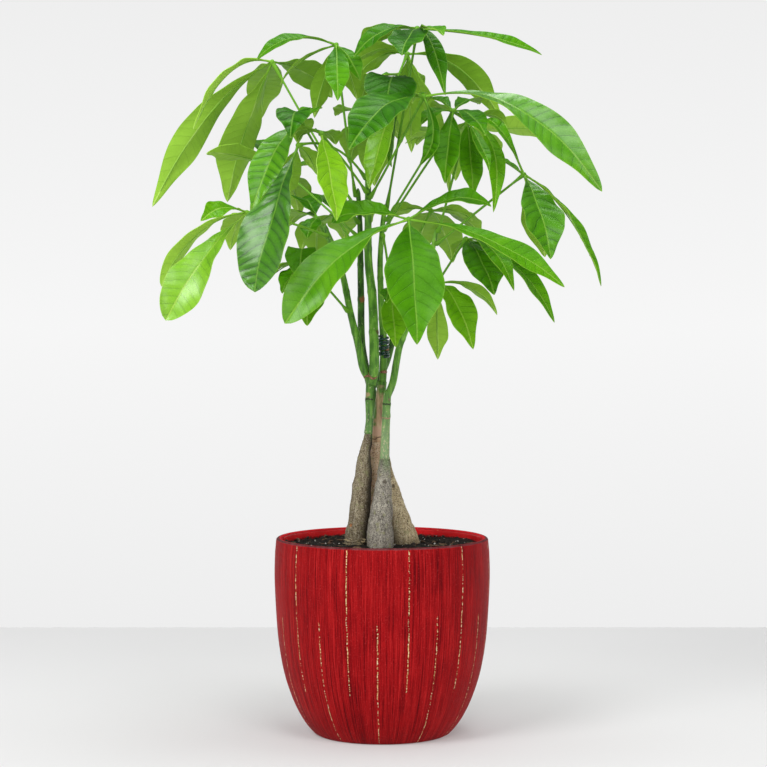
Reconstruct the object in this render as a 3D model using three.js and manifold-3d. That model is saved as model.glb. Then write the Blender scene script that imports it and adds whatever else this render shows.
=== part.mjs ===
// A potted money tree: a red glazed pot of soil, four trunks that lean together,
// green stems above them, and leaves of long leaflets spread like open hands.
// Millimetres, +Z up. The origin is the middle of the pot's flat base, the front faces -Y.

import * as THREE from 'three';
import { mergeVertices } from 'three/addons/utils/BufferGeometryUtils.js';
import Module from 'manifold-3d';

const wasm = await Module();
wasm.setup();

// The pot: its outline from the foot to the shoulder as [radius, height], and its wall.
const FOOT_RADIUS = 50;
const RIM_RADIUS = 79.2;
const RIM_HEIGHT = 147;
const RIM_ROUNDING = 1.8;
const RIM_STEPS = 3;
const WALL = 5;
const FLOOR = 9;
const POT_OUTLINE = [
  [FOOT_RADIUS, 0], [56.2, 6.8], [62, 15.8], [68, 29], [73.6, 47],
  [77.4, 69], [79.3, 92], [80.4, 118], [80, 136],
];
const OUTLINE_STEPS = 9;
const POT_SIDES = 40;

// The soil fills the pot to a little below the rim. It is 1.5 mm higher in the middle.
const SOIL_HEIGHT = 140.5;
const SOIL_CROWN = 1.5;
const HOLE_DEPTH = 28;

// Clear space between two pieces that touch.
const GAP = 0.3;

// The trunks, from below the soil to the green stems: [x, y, z, radius].
const TRUNK_SIDES = 10;
const TRUNK_STEPS = 9;
const TRUNKS = {
  trunk_left: [
    [-20, -5, 114, 8.6], [-19.5, -5, 141, 8.3], [-18.2, -5, 156, 7.9], [-16.2, -4, 171, 7.6],
    [-14.8, -4, 188, 6.7], [-13.8, -3, 201, 5.7], [-11.8, -3, 214, 4.1], [-10.3, -3, 224.7, 2.9],
  ],
  trunk_front: [
    [-1.5, -24, 114, 10.8], [-1.5, -23, 143, 10.4], [-1.3, -21, 157, 9.2], [-0.4, -18, 171, 7.6],
    [0.8, -14, 186, 6.1], [1.5, -11.5, 197, 4.6], [1.8, -10, 205.7, 3.4],
  ],
  trunk_right: [
    [18.4, 4, 114, 11], [17.2, 5, 141, 10.5], [13.8, 7, 155, 9], [9.8, 9, 169, 7.4],
    [5.8, 10, 184, 5.9], [2.8, 11, 196, 4.6], [1.5, 11, 208.7, 3.4],
  ],
  trunk_centre: [
    [-5.3, 22, 114, 6.6], [-5.3, 21, 139, 6.2], [-5.7, 16, 164, 5], [-5.9, 11, 184, 4.2],
    [-5.6, 8, 200, 3.8], [-4.8, 5, 217.7, 3.4],
  ],
};

// Each green stem goes up from its trunk, and shoots grow on from its cut top: [x, y, z, radius].
const STEM_SIDES = 7;
const STEMS = {
  stem_left: ['left_base', 'left_low', 'left_high'],
  stem_front: ['front_base', 'front'],
  stem_centre: ['centre_base', 'centre'],
  stem_back: ['back_base', 'back_left', 'back_right'],
};
const SHOOTS = {
  left_base: [[-10.3, -3, 225.2, 2.9], [-9.4, -3, 235, 2.6], [-9.7, -3, 249, 2.6], [-8.6, -4, 268, 3]],
  left_low: [
    [-9.5, -4, 265, 2.6], [-14.2, -6, 274, 2.6], [-17.4, -8, 290, 2.5], [-23.2, -8, 313, 2.2],
    [-29.2, -4, 342, 2], [-36.8, 2, 365, 1.7], [-43.8, 8, 380, 1.4],
  ],
  left_high: [
    [-7.5, -5, 262, 2.8], [-6, -8, 272, 3.2], [-6, -9, 290, 3], [-7.1, -7, 324, 2.8],
    [-10.1, -3, 352, 2.5], [-10.5, 0, 384, 2.2], [-10.5, 2, 410, 1.9], [-11.3, 4, 438, 1.5],
  ],
  centre_base: [[-4.8, 5, 218.4, 3.4], [-3.4, 4, 233, 3.3], [-1.5, 3, 248, 3.2], [0, 3, 263, 3.2]],
  centre: [
    [0, 3, 259, 2.8], [1.1, 4, 281, 2.7], [0.8, 4, 297, 2.6], [-0.8, 6, 324, 2.3],
    [-1.5, 6, 352, 2], [0, 5, 376, 1.8], [2.3, 2, 395, 1.6],
  ],
  front_base: [[1.8, -10, 206.6, 3.3], [2.6, -9, 227, 2.9], [3.4, -7, 247, 2.7], [4.1, -6, 256, 2.6]],
  front: [
    [4.5, -6, 254, 2.4], [8, -5, 263, 2.4], [10.8, -6, 279, 2.3], [13.1, -8, 290, 2.2],
    [19.4, -10, 307, 2.1], [28.4, -10, 331, 1.9], [35.9, -8, 355, 1.7], [40.4, -6, 377, 1.4],
  ],
  back_base: [[1.5, 11, 209.4, 3.4], [-1.5, 13, 229, 3.2], [-6.8, 14, 252, 3], [-11.3, 13, 269, 2.8]],
  back_left: [
    [-9.8, 13, 262, 2.5], [-15.1, 11, 290, 2.5], [-15.8, 9, 324, 2.3], [-16.2, 11, 352, 2.1],
    [-16.6, 12, 380, 1.8], [-18.1, 10, 407, 1.5],
  ],
  back_right: [
    [-8.3, 14, 256, 2.4], [1.5, 17, 272, 2.4], [6.8, 16, 289, 2.3], [10.6, 18, 312, 2.1],
    [15.9, 16, 339, 1.9], [21.2, 12, 364, 1.6],
  ],
};

// The plastic-coated wire that is wound round one shoot.
const TIE_SHOOT = 'centre';
const TIE_BOTTOM = 281;
const TIE_TOP = 297;
const TIE_TURNS = 3;
const TIE_WIRE = 0.9;

// One leaflet: a thin blade in two halves that rise from the midrib, wide past its middle.
const BLADE = 0.8;
const FOLD = 0.22;
const STATIONS = [0, 0.07, 0.3, 0.58, 0.84, 1];
const SHORT_STATIONS = [0, 0.07, 0.42, 0.78, 1];
const SHORT_REACH = 90;
const STALK_WIDTH = 1.7;
const BARE_PART = 0.06;
const WIDEST = 1.15;
const FULLNESS = 0.75;
const BEND_AT = 0.55;

// One leaf stalk, with a swollen top that all the leaflets grow from.
const STALK_RADIUS = 1.1;
const STALK_SIDES = 5;
const STALK_STEPS = 4;
const HUB_RADIUS = 2.3;
const ROOT_OFFSET = 0.8;

// Each leaf: the shoot and the height it grows from, how much its stalk arches (bow), where its
// leaflets meet (hub), and its leaflets as [tip x, tip y, tip z, width, arch, roll] from there,
// some with a swing to the side as a last value.
const LEAVES = [
  {
    name: 'leaf_upper_left', shoot: 'back_left', height: 392, bow: 2,
    hub: [-83, 35, 503],
    leaflets: [
      [-93, 25, -108, 27, 36, 75],
      [-58, -27, -52, 18, 38, 40],
      [-37, 26, -104, 30, 18, 15],
      [44, 62, -22, 28, 14, -45],
      [-14, 105, -35, 28, 20, 0],
    ],
  },
  {
    name: 'leaf_top_left', shoot: 'back_left', height: 402, bow: 4,
    hub: [-34, -5, 512],
    leaflets: [
      [-43, 10, -27, 12, 10, -15],
      [2, -40, -43, 18, 12, 0],
      [18, -13, -27, 15, 8, 50],
      [15, 40, -36, 20, 8, -15],
      [-17, 17, -52, 16, 6, 30],
      [-58, -22, -12, 16, 20, -40],
    ],
  },
  {
    name: 'leaf_crown_top', shoot: 'centre', height: 392, bow: 4,
    hub: [26, -5, 524],
    leaflets: [
      [94, 20, -16, 14, 8, 50],
      [18, -55, -9, 15, 5, 0],
      [-47, -13, -22, 17, 18, -55],
      [-45, 50, -10, 18, 12, 45],
      [-12, -57, -24, 28, 8, 0],
      [20, -27, -51, 18, 26, 35],
    ],
  },
  {
    name: 'leaf_crown_back', shoot: 'left_high', height: 436, bow: 6,
    hub: [19, 35, 509],
    leaflets: [
      [72, 15, -48, 26, 32, -65],
      [33, 6, -104, 26, 18, -25],
      [4, 60, -70, 22, 14, 0],
      [-40, -7, -7, 16, 14, 50],
      [-38, 15, -16, 20, 16, 50],
    ],
  },
  {
    name: 'leaf_upper_front', shoot: 'left_high', height: 430, bow: 4,
    hub: [12, 12, 481],
    leaflets: [
      [-10, -67, -29, 38, 40, -12],
      [-22, -30, -75, 22, 6, 0],
      [-7, -4, -58, 14, 6, 0],
      [4, 54, -18, 18, 14, 0],
    ],
  },
  {
    name: 'leaf_front_top', shoot: 'left_high', height: 400, bow: 0,
    hub: [30, -45, 471],
    leaflets: [
      [127, -25, -69, 30, 54, 76],
      [-53, -65, -41, 36, 24, -35],
      [-4, -18, -50, 11, -4, 0, 18],
      [-8, 30, -2, 14, 8, 0],
    ],
  },
  {
    name: 'leaf_left_front', shoot: 'left_high', height: 414, bow: 22,
    hub: [-60, -65, 435],
    leaflets: [
      [-31, -30, -104, 40, 14, -20],
      [-14, 36, -40, 20, 0, 0],
      [13, 25, -20, 16, 8, 0],
    ],
  },
  {
    name: 'leaf_left_middle', shoot: 'left_high', height: 404, bow: 4,
    hub: [-44, -55, 444],
    leaflets: [
      [12, -15, -63, 27, 9, 0],
      [-18, 14, -4, 16, 8, 0],
      [-20, 4, 0, 11, 6, 20],
      [10, 34, -6, 18, 8, 0],
    ],
  },
  {
    name: 'leaf_left_upper', shoot: 'back_left', height: 382, bow: 6,
    hub: [-59, -35, 454],
    leaflets: [
      [-6, -53, -14, 25, 24, 0],
      [-34, -35, -65, 27, 22, -35],
      [11, 40, 11, 16, 6, 0],
      [-4, 45, -12, 22, 12, 0],
    ],
  },
  {
    name: 'leaf_right_upper', shoot: 'centre', height: 384, bow: 4,
    hub: [52, -25, 462],
    leaflets: [
      [-7, -25, -53, 22, 8, 0],
      [-24, -18, -10, 14, 8, -30],
      [-20, 33, 11, 16, 8, 0],
      [22, -40, -20, 18, 12, 20],
      [21, 40, 8, 18, 10, 0],
    ],
  },
  {
    name: 'leaf_right_inner', shoot: 'front', height: 375, bow: 4,
    hub: [63, -5, 456],
    leaflets: [
      [4, -20, -57, 20, 4, 0],
      [18, -30, -68, 15, 26, 20, 22],
      [16, -33, -37, 10, 4, 0],
      [31, 13, -3, 14, 14, -30],
      [-17, 27, -26, 20, 8, 0],
      [-28, 26, 12, 18, 6, 30],
    ],
  },
  {
    name: 'leaf_right_low', shoot: 'front', height: 366, bow: 2,
    hub: [104, -20, 416],
    leaflets: [
      [19, 48, -60, 24, 8, -15],
      [18, -40, -61, 32, 14, 5],
      [60, 8, -81, 21, 28, 35],
      [-29, 18, 42, 12, 18, -30],
      [-29, 50, 17, 14, 6, 30],
    ],
  },
  {
    name: 'leaf_front_centre', shoot: 'front', height: 334, bow: 4,
    hub: [19, -60, 382],
    leaflets: [
      [6, -38, -88, 42, 18, 0],
      [-88, -28, -74, 38, 28, -70],
      [111, -18, -48, 24, 20, 60],
      [-57, 18, -1, 32, 12, -45],
      [61, 18, 11, 20, 18, 50],
    ],
  },
  {
    name: 'leaf_right_under', shoot: 'front', height: 308, bow: 4,
    hub: [62, 0, 369],
    leaflets: [
      [20, -32, -41, 34, 12, 15],
      [34, -48, -37, 16, 24, 20],
      [67, -8, -61, 21, 26, 40],
      [-8, 22, -11, 10, 4, 0],
    ],
  },
  {
    name: 'leaf_low_right', shoot: 'front', height: 320, bow: 2,
    hub: [40, -8, 336],
    leaflets: [
      [47, 16, -22, 14, 18, -30],
      [27, -18, -48, 24, 22, 50],
      [2, 30, -56, 16, 0, 0],
    ],
  },
  {
    name: 'leaf_low_centre', shoot: 'centre', height: 372, bow: 4,
    hub: [6, -22, 333],
    leaflets: [
      [4, -16, -43, 22, 4, 0],
      [-3, -30, -9, 12, 4, 0],
      [15, 42, -10, 12, 6, 0],
    ],
  },
  {
    name: 'leaf_left_low', shoot: 'left_low', height: 372, bow: 4,
    hub: [-99, -25, 388],
    leaflets: [
      [-57, -30, -78, 32, 16, -70],
      [-65, 7, -53, 18, 28, 40],
      [-31, -30, -6, 16, 12, -60],
      [-16, 55, -26, 22, 14, 0],
    ],
  },
  {
    name: 'leaf_left_under', shoot: 'left_low', height: 316, bow: 2,
    hub: [-57, -35, 352],
    leaflets: [
      [3, -17, -46, 26, 6, 0],
      [-31, 15, -18, 24, 10, -20],
      [-16, -7, -23, 22, 6, -15],
      [-2, -40, -19, 22, 34, 0],
      [18, 45, 0, 16, 6, 0],
    ],
  },
  {
    name: 'leaf_left_back', shoot: 'left_low', height: 360, bow: 0,
    hub: [-49, 28, 385],
    leaflets: [
      [-15, 34, 16, 26, 10, 0],
      [-7, -23, -15, 16, 6, 0],
      [-2, 48, -30, 22, 10, 0],
      [-24, 67, -3, 24, 12, 0],
    ],
  },
  {
    name: 'leaf_behind_left', shoot: 'back_left', height: 372, bow: 2,
    hub: [-75, 50, 422],
    leaflets: [
      [-38, 62, 22, 26, 18, 0],
      [-21, 60, -52, 28, 14, 0],
      [9, 82, -31, 26, 14, 0],
      [32, 42, 3, 22, 8, 0],
      [-57, -45, 12, 20, 6, 50],
    ],
  },
  {
    name: 'leaf_behind_right', shoot: 'centre', height: 376, bow: 4,
    hub: [51, 70, 452],
    leaflets: [
      [100, -6, -3, 24, 10, -65],
      [44, 60, -21, 26, 20, 0],
      [8, 72, -32, 28, 16, 0],
      [-24, 55, -5, 26, 12, 0],
      [-33, 4, -8, 20, 6, 0],
    ],
  },
  {
    name: 'leaf_behind_centre', shoot: 'left_high', height: 410, bow: 2,
    hub: [-8, 80, 464],
    leaflets: [
      [-18, 60, -32, 28, 14, 0],
      [2, 55, -49, 26, 14, 0],
      [24, 58, -14, 26, 12, 0],
      [-29, 30, 4, 24, 10, 0],
    ],
  },
  {
    name: 'leaf_behind_low', shoot: 'back_left', height: 358, bow: 2,
    hub: [-37, 75, 389],
    leaflets: [
      [-28, 37, -26, 26, 12, 0],
      [7, 63, -18, 24, 12, 0],
      [29, 43, -4, 24, 10, 0],
      [-15, 55, 14, 22, 14, 0],
    ],
  },
  {
    name: 'leaf_behind_right_low', shoot: 'back_right', height: 360, bow: 2,
    hub: [37, 35, 391],
    leaflets: [
      [-32, 12, -4, 16, 8, 45],
      [32, -5, -7, 14, 8, -45],
      [-11, 75, -38, 28, 14, 0],
      [19, 80, -38, 26, 14, 0],
      [41, 65, -17, 22, 12, 0],
    ],
  },
  {
    name: 'leaf_behind_top', shoot: 'left_high', height: 434, bow: 2,
    hub: [-5, 75, 495],
    leaflets: [
      [-12, 42, -19, 24, 14, 0],
      [20, 67, -20, 26, 16, 0],
      [39, 45, -6, 24, 12, 0],
      [-28, 8, -6, 20, 8, 0],
    ],
  },
];

const COLOURS = {
  pot: { color: 0xa3171c, roughness: 0.55, metalness: 0.1 },
  soil: { color: 0x1b1512, roughness: 0.98, metalness: 0 },
  bark: { color: 0x8d8273, roughness: 0.9, metalness: 0 },
  stem: { color: 0x3f7a26, roughness: 0.5, metalness: 0 },
  tie: { color: 0x0d3a2c, roughness: 0.25, metalness: 0 },
  leaf: { color: 0x4f9a1c, roughness: 0.4, metalness: 0 },
};

const UP = new THREE.Vector3(0, 0, 1);
const point = (row) => new THREE.Vector3(row[0], row[1], row[2]);

// A closed geometry as a solid that can be joined and cut.
function solidOf(geometry) {
  geometry.deleteAttribute('normal');
  geometry.deleteAttribute('uv');
  const merged = mergeVertices(geometry, 1e-4);
  const index = merged.index.array;
  const triangles = [];
  for (let i = 0; i < index.length; i += 3) {
    const [a, b, c] = [index[i], index[i + 1], index[i + 2]];
    if (a !== b && b !== c && c !== a) triangles.push(a, b, c);
  }
  return new wasm.Manifold(new wasm.Mesh({
    numProp: 3,
    vertProperties: new Float32Array(merged.attributes.position.array),
    triVerts: new Uint32Array(triangles),
  }));
}

function geometryOf(solid) {
  const mesh = solid.getMesh();
  const geometry = new THREE.BufferGeometry();
  geometry.setAttribute('position', new THREE.BufferAttribute(mesh.vertProperties, 3));
  geometry.setIndex(new THREE.BufferAttribute(mesh.triVerts, 1));
  geometry.computeVertexNormals();
  return geometry;
}

// A round bar along a curve. radiusAt gives its radius at each part t of the way.
function barAlong(curve, radiusAt, sides, steps) {
  const geometry = new THREE.CylinderGeometry(1, 1, 1, sides, steps);
  const rings = [];
  let across = new THREE.Vector3(1, 0, 0);
  for (let i = 0; i <= steps; i += 1) {
    const t = i / steps;
    const along = curve.getTangent(t);
    across = across.clone().addScaledVector(along, -across.dot(along)).normalize();
    const third = new THREE.Vector3().crossVectors(across, along);
    rings.push({ centre: curve.getPoint(t), across, third, radius: radiusAt(t) });
  }
  const place = geometry.attributes.position;
  for (let i = 0; i < place.count; i += 1) {
    const ring = rings[Math.round((place.getY(i) + 0.5) * steps)];
    const spot = ring.centre.clone()
      .addScaledVector(ring.across, place.getX(i) * ring.radius)
      .addScaledVector(ring.third, place.getZ(i) * ring.radius);
    place.setXYZ(i, spot.x, spot.y, spot.z);
  }
  return solidOf(geometry);
}

// A trunk, stem or shoot through rows of [x, y, z, radius]. extra makes it that much thicker.
function limb(rows, sides, steps, extra = 0) {
  const curve = new THREE.CatmullRomCurve3(rows.map(point));
  const radii = new THREE.CatmullRomCurve3(rows.map((row) => new THREE.Vector3(row[3], 0, 0)));
  return barAlong(curve, (t) => radii.getPoint(t).x + extra, sides, steps);
}

// Where a shoot is at a height, and how thick it is there.
function shootAt(name, height) {
  const rows = SHOOTS[name];
  const above = Math.max(1, rows.findIndex((row) => row[2] >= height));
  const [low, high] = [rows[above - 1], rows[above]];
  const part = (height - low[2]) / (high[2] - low[2]);
  return {
    centre: point(low).lerp(point(high), part),
    radius: low[3] + (high[3] - low[3]) * part,
    along: point(high).sub(point(low)).normalize(),
  };
}

// A solid of revolution from rows of [radius, height], starting and ending on the axis.
function turned(rows, sides) {
  const geometry = new THREE.LatheGeometry(rows.map(([r, z]) => new THREE.Vector2(r, z)), sides);
  geometry.rotateX(Math.PI / 2);
  return solidOf(geometry);
}

// The pot's outline below the rim, from the foot up, as [radius, height].
function potOutline() {
  const curve = new THREE.SplineCurve(POT_OUTLINE.map(([r, z]) => new THREE.Vector2(r, z)));
  return curve.getPoints(OUTLINE_STEPS).map((spot) => [spot.x, spot.y]);
}

function pot() {
  const outside = potOutline();
  const rim = [];
  for (let i = 0; i <= RIM_STEPS; i += 1) {
    const turn = (Math.PI * i) / RIM_STEPS;
    const middle = RIM_RADIUS - RIM_ROUNDING - (WALL / 2 - RIM_ROUNDING) * (1 - Math.cos(turn));
    rim.push([middle + RIM_ROUNDING * Math.cos(turn),
      RIM_HEIGHT - RIM_ROUNDING + RIM_ROUNDING * Math.sin(turn)]);
  }
  const inside = outside.filter(([, z]) => z > FLOOR).map(([r, z]) => [r - WALL, z]).reverse();
  inside.push([inside[inside.length - 1][0] - WALL, FLOOR]);
  return turned([[0, 0], ...outside, ...rim, ...inside, [0, FLOOR]], POT_SIDES);
}

function soil() {
  const wall = potOutline().filter(([, z]) => z > FLOOR).map(([r, z]) => [r - WALL - GAP, z]);
  const below = wall.filter(([, z], i) => z < SOIL_HEIGHT - WALL && i % 2 === 0);
  const [edge] = wall[wall.length - 1];
  const bottom = FLOOR + GAP;
  let body = turned([[0, bottom], [below[0][0] - WALL, bottom], ...below,
    [edge - 0.1, SOIL_HEIGHT], [edge * 0.6, SOIL_HEIGHT + SOIL_CROWN * 0.7],
    [0, SOIL_HEIGHT + SOIL_CROWN]], POT_SIDES);
  for (const rows of Object.values(TRUNKS)) {
    const foot = [...rows[0]];
    foot[2] = SOIL_HEIGHT - HOLE_DEPTH - GAP;
    body = body.subtract(limb([foot, ...rows.slice(1, 3)], TRUNK_SIDES, 4, GAP * 1.5));
  }
  return body;
}

function stem(names) {
  const parts = names.map((name) => limb(SHOOTS[name], STEM_SIDES, SHOOTS[name].length + 1));
  return parts.slice(1).reduce((whole, part) => whole.add(part), parts[0]);
}

function tie() {
  const { centre, radius, along } = shootAt(TIE_SHOOT, (TIE_BOTTOM + TIE_TOP) / 2);
  const reach = radius + 2 * GAP + TIE_WIRE;
  const turns = [];
  const perTurn = 6;
  for (let i = 0; i <= TIE_TURNS * perTurn; i += 1) {
    const turn = (2 * Math.PI * i) / perTurn;
    const rise = TIE_BOTTOM + ((TIE_TOP - TIE_BOTTOM) * i) / (TIE_TURNS * perTurn);
    const axis = centre.clone().addScaledVector(along, (rise - centre.z) / along.z);
    turns.push(new THREE.Vector3(
      axis.x + reach * Math.sin(turn), axis.y - reach * Math.cos(turn), rise));
  }
  const wire = new THREE.CatmullRomCurve3(turns);
  return barAlong(wire, () => TIE_WIRE, 5, TIE_TURNS * 8);
}

// A thin plate whose two faces follow surfaceAt(x, t): x is -1 to 1 across, t is 0 to 1 along.
function plate(stations, surfaceAt) {
  const rows = stations.length;
  const sheet = new THREE.PlaneGeometry(2, 1, 2, rows - 1);
  const across = sheet.attributes.position;
  const count = across.count;
  const places = new Float32Array(count * 6);
  for (let i = 0; i < count; i += 1) {
    const t = stations[Math.floor(i / 3)];
    const { spot, normal } = surfaceAt(across.getX(i), t);
    spot.clone().addScaledVector(normal, BLADE / 2).toArray(places, i * 3);
    spot.clone().addScaledVector(normal, -BLADE / 2).toArray(places, (i + count) * 3);
  }
  const faces = [];
  const edges = new Set();
  const index = sheet.index.array;
  for (let i = 0; i < index.length; i += 3) {
    const corners = [index[i], index[i + 1], index[i + 2]];
    faces.push(...corners, corners[0] + count, corners[2] + count, corners[1] + count);
    corners.forEach((corner, k) => edges.add(`${corner} ${corners[(k + 1) % 3]}`));
  }
  for (const edge of edges) {
    const [a, b] = edge.split(' ').map(Number);
    if (!edges.has(`${b} ${a}`)) faces.push(b, a, a + count, b, a + count, b + count);
  }
  const geometry = new THREE.BufferGeometry();
  geometry.setAttribute('position', new THREE.BufferAttribute(places, 3));
  geometry.setIndex(faces);
  return solidOf(geometry);
}

// A leaflet from the hub. Its midrib arches up and over to the tip, and its blade, level across
// at the hub, turns about the midrib by some degrees on the way.
function leaflet(hub, [dx, dy, dz, width, arch, roll, swing = 0]) {
  const reach = new THREE.Vector3(dx, dy, dz);
  const left = new THREE.Vector3(-dy, dx, 0).normalize();
  const bend = reach.clone().multiplyScalar(BEND_AT)
    .addScaledVector(UP, arch)
    .addScaledVector(left, swing);
  const root = hub.clone().addScaledVector(bend, ROOT_OFFSET / bend.length());
  const midrib = new THREE.QuadraticBezierCurve3(root, bend.add(hub), hub.clone().add(reach));
  const stations = reach.length() < SHORT_REACH ? SHORT_STATIONS : STATIONS;
  return plate(stations, (x, t) => {
    const along = midrib.getTangent(t);
    const side = left.clone().addScaledVector(along, -left.dot(along)).normalize()
      .applyAxisAngle(along, THREE.MathUtils.degToRad(roll * t));
    const normal = new THREE.Vector3().crossVectors(along, side);
    const grown = Math.max(0, t - BARE_PART) / (1 - BARE_PART);
    const swell = Math.max(0, Math.sin(Math.PI * grown ** WIDEST)) ** FULLNESS;
    const half = Math.max(STALK_WIDTH, width * swell) / 2;
    const spot = midrib.getPoint(t)
      .addScaledVector(side, x * half)
      .addScaledVector(normal, Math.abs(x) * half * FOLD);
    return { spot, normal };
  });
}

function leaf({ shoot, height, bow, hub, leaflets }) {
  const top = point(hub);
  const { centre, radius, along } = shootAt(shoot, height);
  const away = top.clone().sub(centre);
  away.addScaledVector(along, -away.dot(along)).normalize();
  const start = centre.clone().addScaledVector(away, radius + GAP + STALK_RADIUS * 0.8);
  const rise = start.clone().lerp(top, 0.4).addScaledVector(UP, bow).addScaledVector(away, 2);
  const stalk = new THREE.QuadraticBezierCurve3(start, rise, top);
  const swollen = new THREE.SphereGeometry(HUB_RADIUS, 5, 2);
  swollen.translate(top.x, top.y, top.z);
  let body = barAlong(stalk, () => STALK_RADIUS, STALK_SIDES, STALK_STEPS).add(solidOf(swollen));
  for (const row of leaflets) body = body.add(leaflet(top, row));
  return body;
}

const group = new THREE.Group();

function piece(name, solid, finish) {
  const mesh = new THREE.Mesh(geometryOf(solid), new THREE.MeshStandardMaterial(finish));
  mesh.name = name;
  group.add(mesh);
}

piece('pot', pot(), COLOURS.pot);
piece('soil', soil(), COLOURS.soil);
for (const [name, rows] of Object.entries(TRUNKS)) {
  piece(name, limb(rows, TRUNK_SIDES, TRUNK_STEPS), COLOURS.bark);
}
for (const [name, shoots] of Object.entries(STEMS)) piece(name, stem(shoots), COLOURS.stem);
piece('tie', tie(), COLOURS.tie);
for (const row of LEAVES) piece(row.name, leaf(row), COLOURS.leaf);

export default group;
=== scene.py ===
"""The looks of a potted money tree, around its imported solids.

Metres, +Z up. The origin is the middle of the pot's flat base, and the front faces -Y.
Tables of shapes are in millimetres, as on the drawing of the plant.
"""
import math
import random

import bpy
import numpy as np
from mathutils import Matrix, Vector


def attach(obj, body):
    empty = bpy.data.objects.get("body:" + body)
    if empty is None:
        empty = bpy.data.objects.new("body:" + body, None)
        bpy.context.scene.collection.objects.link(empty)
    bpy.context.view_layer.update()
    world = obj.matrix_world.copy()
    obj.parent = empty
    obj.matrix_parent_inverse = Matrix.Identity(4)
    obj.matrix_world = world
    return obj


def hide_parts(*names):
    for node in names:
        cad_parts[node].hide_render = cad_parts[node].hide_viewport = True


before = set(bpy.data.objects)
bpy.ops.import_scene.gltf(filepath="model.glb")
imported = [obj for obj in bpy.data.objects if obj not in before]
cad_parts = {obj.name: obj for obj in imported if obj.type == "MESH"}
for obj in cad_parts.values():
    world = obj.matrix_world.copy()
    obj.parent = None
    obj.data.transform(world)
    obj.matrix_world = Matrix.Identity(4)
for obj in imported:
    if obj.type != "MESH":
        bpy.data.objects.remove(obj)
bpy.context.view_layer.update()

MM = 0.001
SEED = 11

# The pot.
POT_OUTLINE = [
    (50, 0), (56.2, 6.8), (62, 15.8), (68, 29), (73.6, 47), (77.4, 69), (79.3, 92), (80.4, 118),
    (80, 136),
]
RIM_RADIUS = 79.2
RIM_HEIGHT = 146.8
RIM_ROUNDING = 1.9
RIM_STEPS = 12
FOOT_RING = [(48.8, 0.0), (50.2, 0.7)]
WALL = 4.8
FLOOR = 9
POT_SIDES = 160
# The gold lines of each set, and where each set starts round the pot in degrees, its lower end and
# its upper end in metres.
GOLD_LINES = 11
GOLD_SETS = ((14, 0.037, 0.1435), (-2.5, -0.01, 0.089))
SOIL_HEIGHT = 140.6
SOIL_RADIUS = 74.7
TRUNK_FOOT = 128

# Points on the trunks and shoots, each with a radius.
TRUNKS = {
    "trunk_left": [
        (-20, -5, 114, 8.6), (-19.5, -5, 141, 8.3), (-18.2, -5, 156, 7.9), (-16.2, -4, 171, 7.6),
        (-14.8, -4, 188, 6.7), (-13.8, -3, 201, 5.7), (-11.8, -3, 214, 4.1),
        (-10.3, -3, 224.7, 2.9),
    ],
    "trunk_front": [
        (-1.5, -24, 114, 10.8), (-1.5, -23, 143, 10.4), (-1.3, -21, 157, 9.2),
        (-0.4, -18, 171, 7.6), (0.8, -14, 186, 6.1), (1.5, -11.5, 197, 4.6),
        (1.8, -10, 205.7, 3.4),
    ],
    "trunk_right": [
        (18.4, 4, 114, 11), (17.2, 5, 141, 10.5), (13.8, 7, 155, 9), (9.8, 9, 169, 7.4),
        (5.8, 10, 184, 5.9), (2.8, 11, 196, 4.6), (1.5, 11, 208.7, 3.4),
    ],
    "trunk_centre": [
        (-5.3, 22, 114, 6.6), (-5.3, 21, 139, 6.2), (-5.7, 16, 164, 5), (-5.9, 11, 184, 4.2),
        (-5.6, 8, 200, 3.8), (-4.8, 5, 217.7, 3.4),
    ],
}
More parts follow.
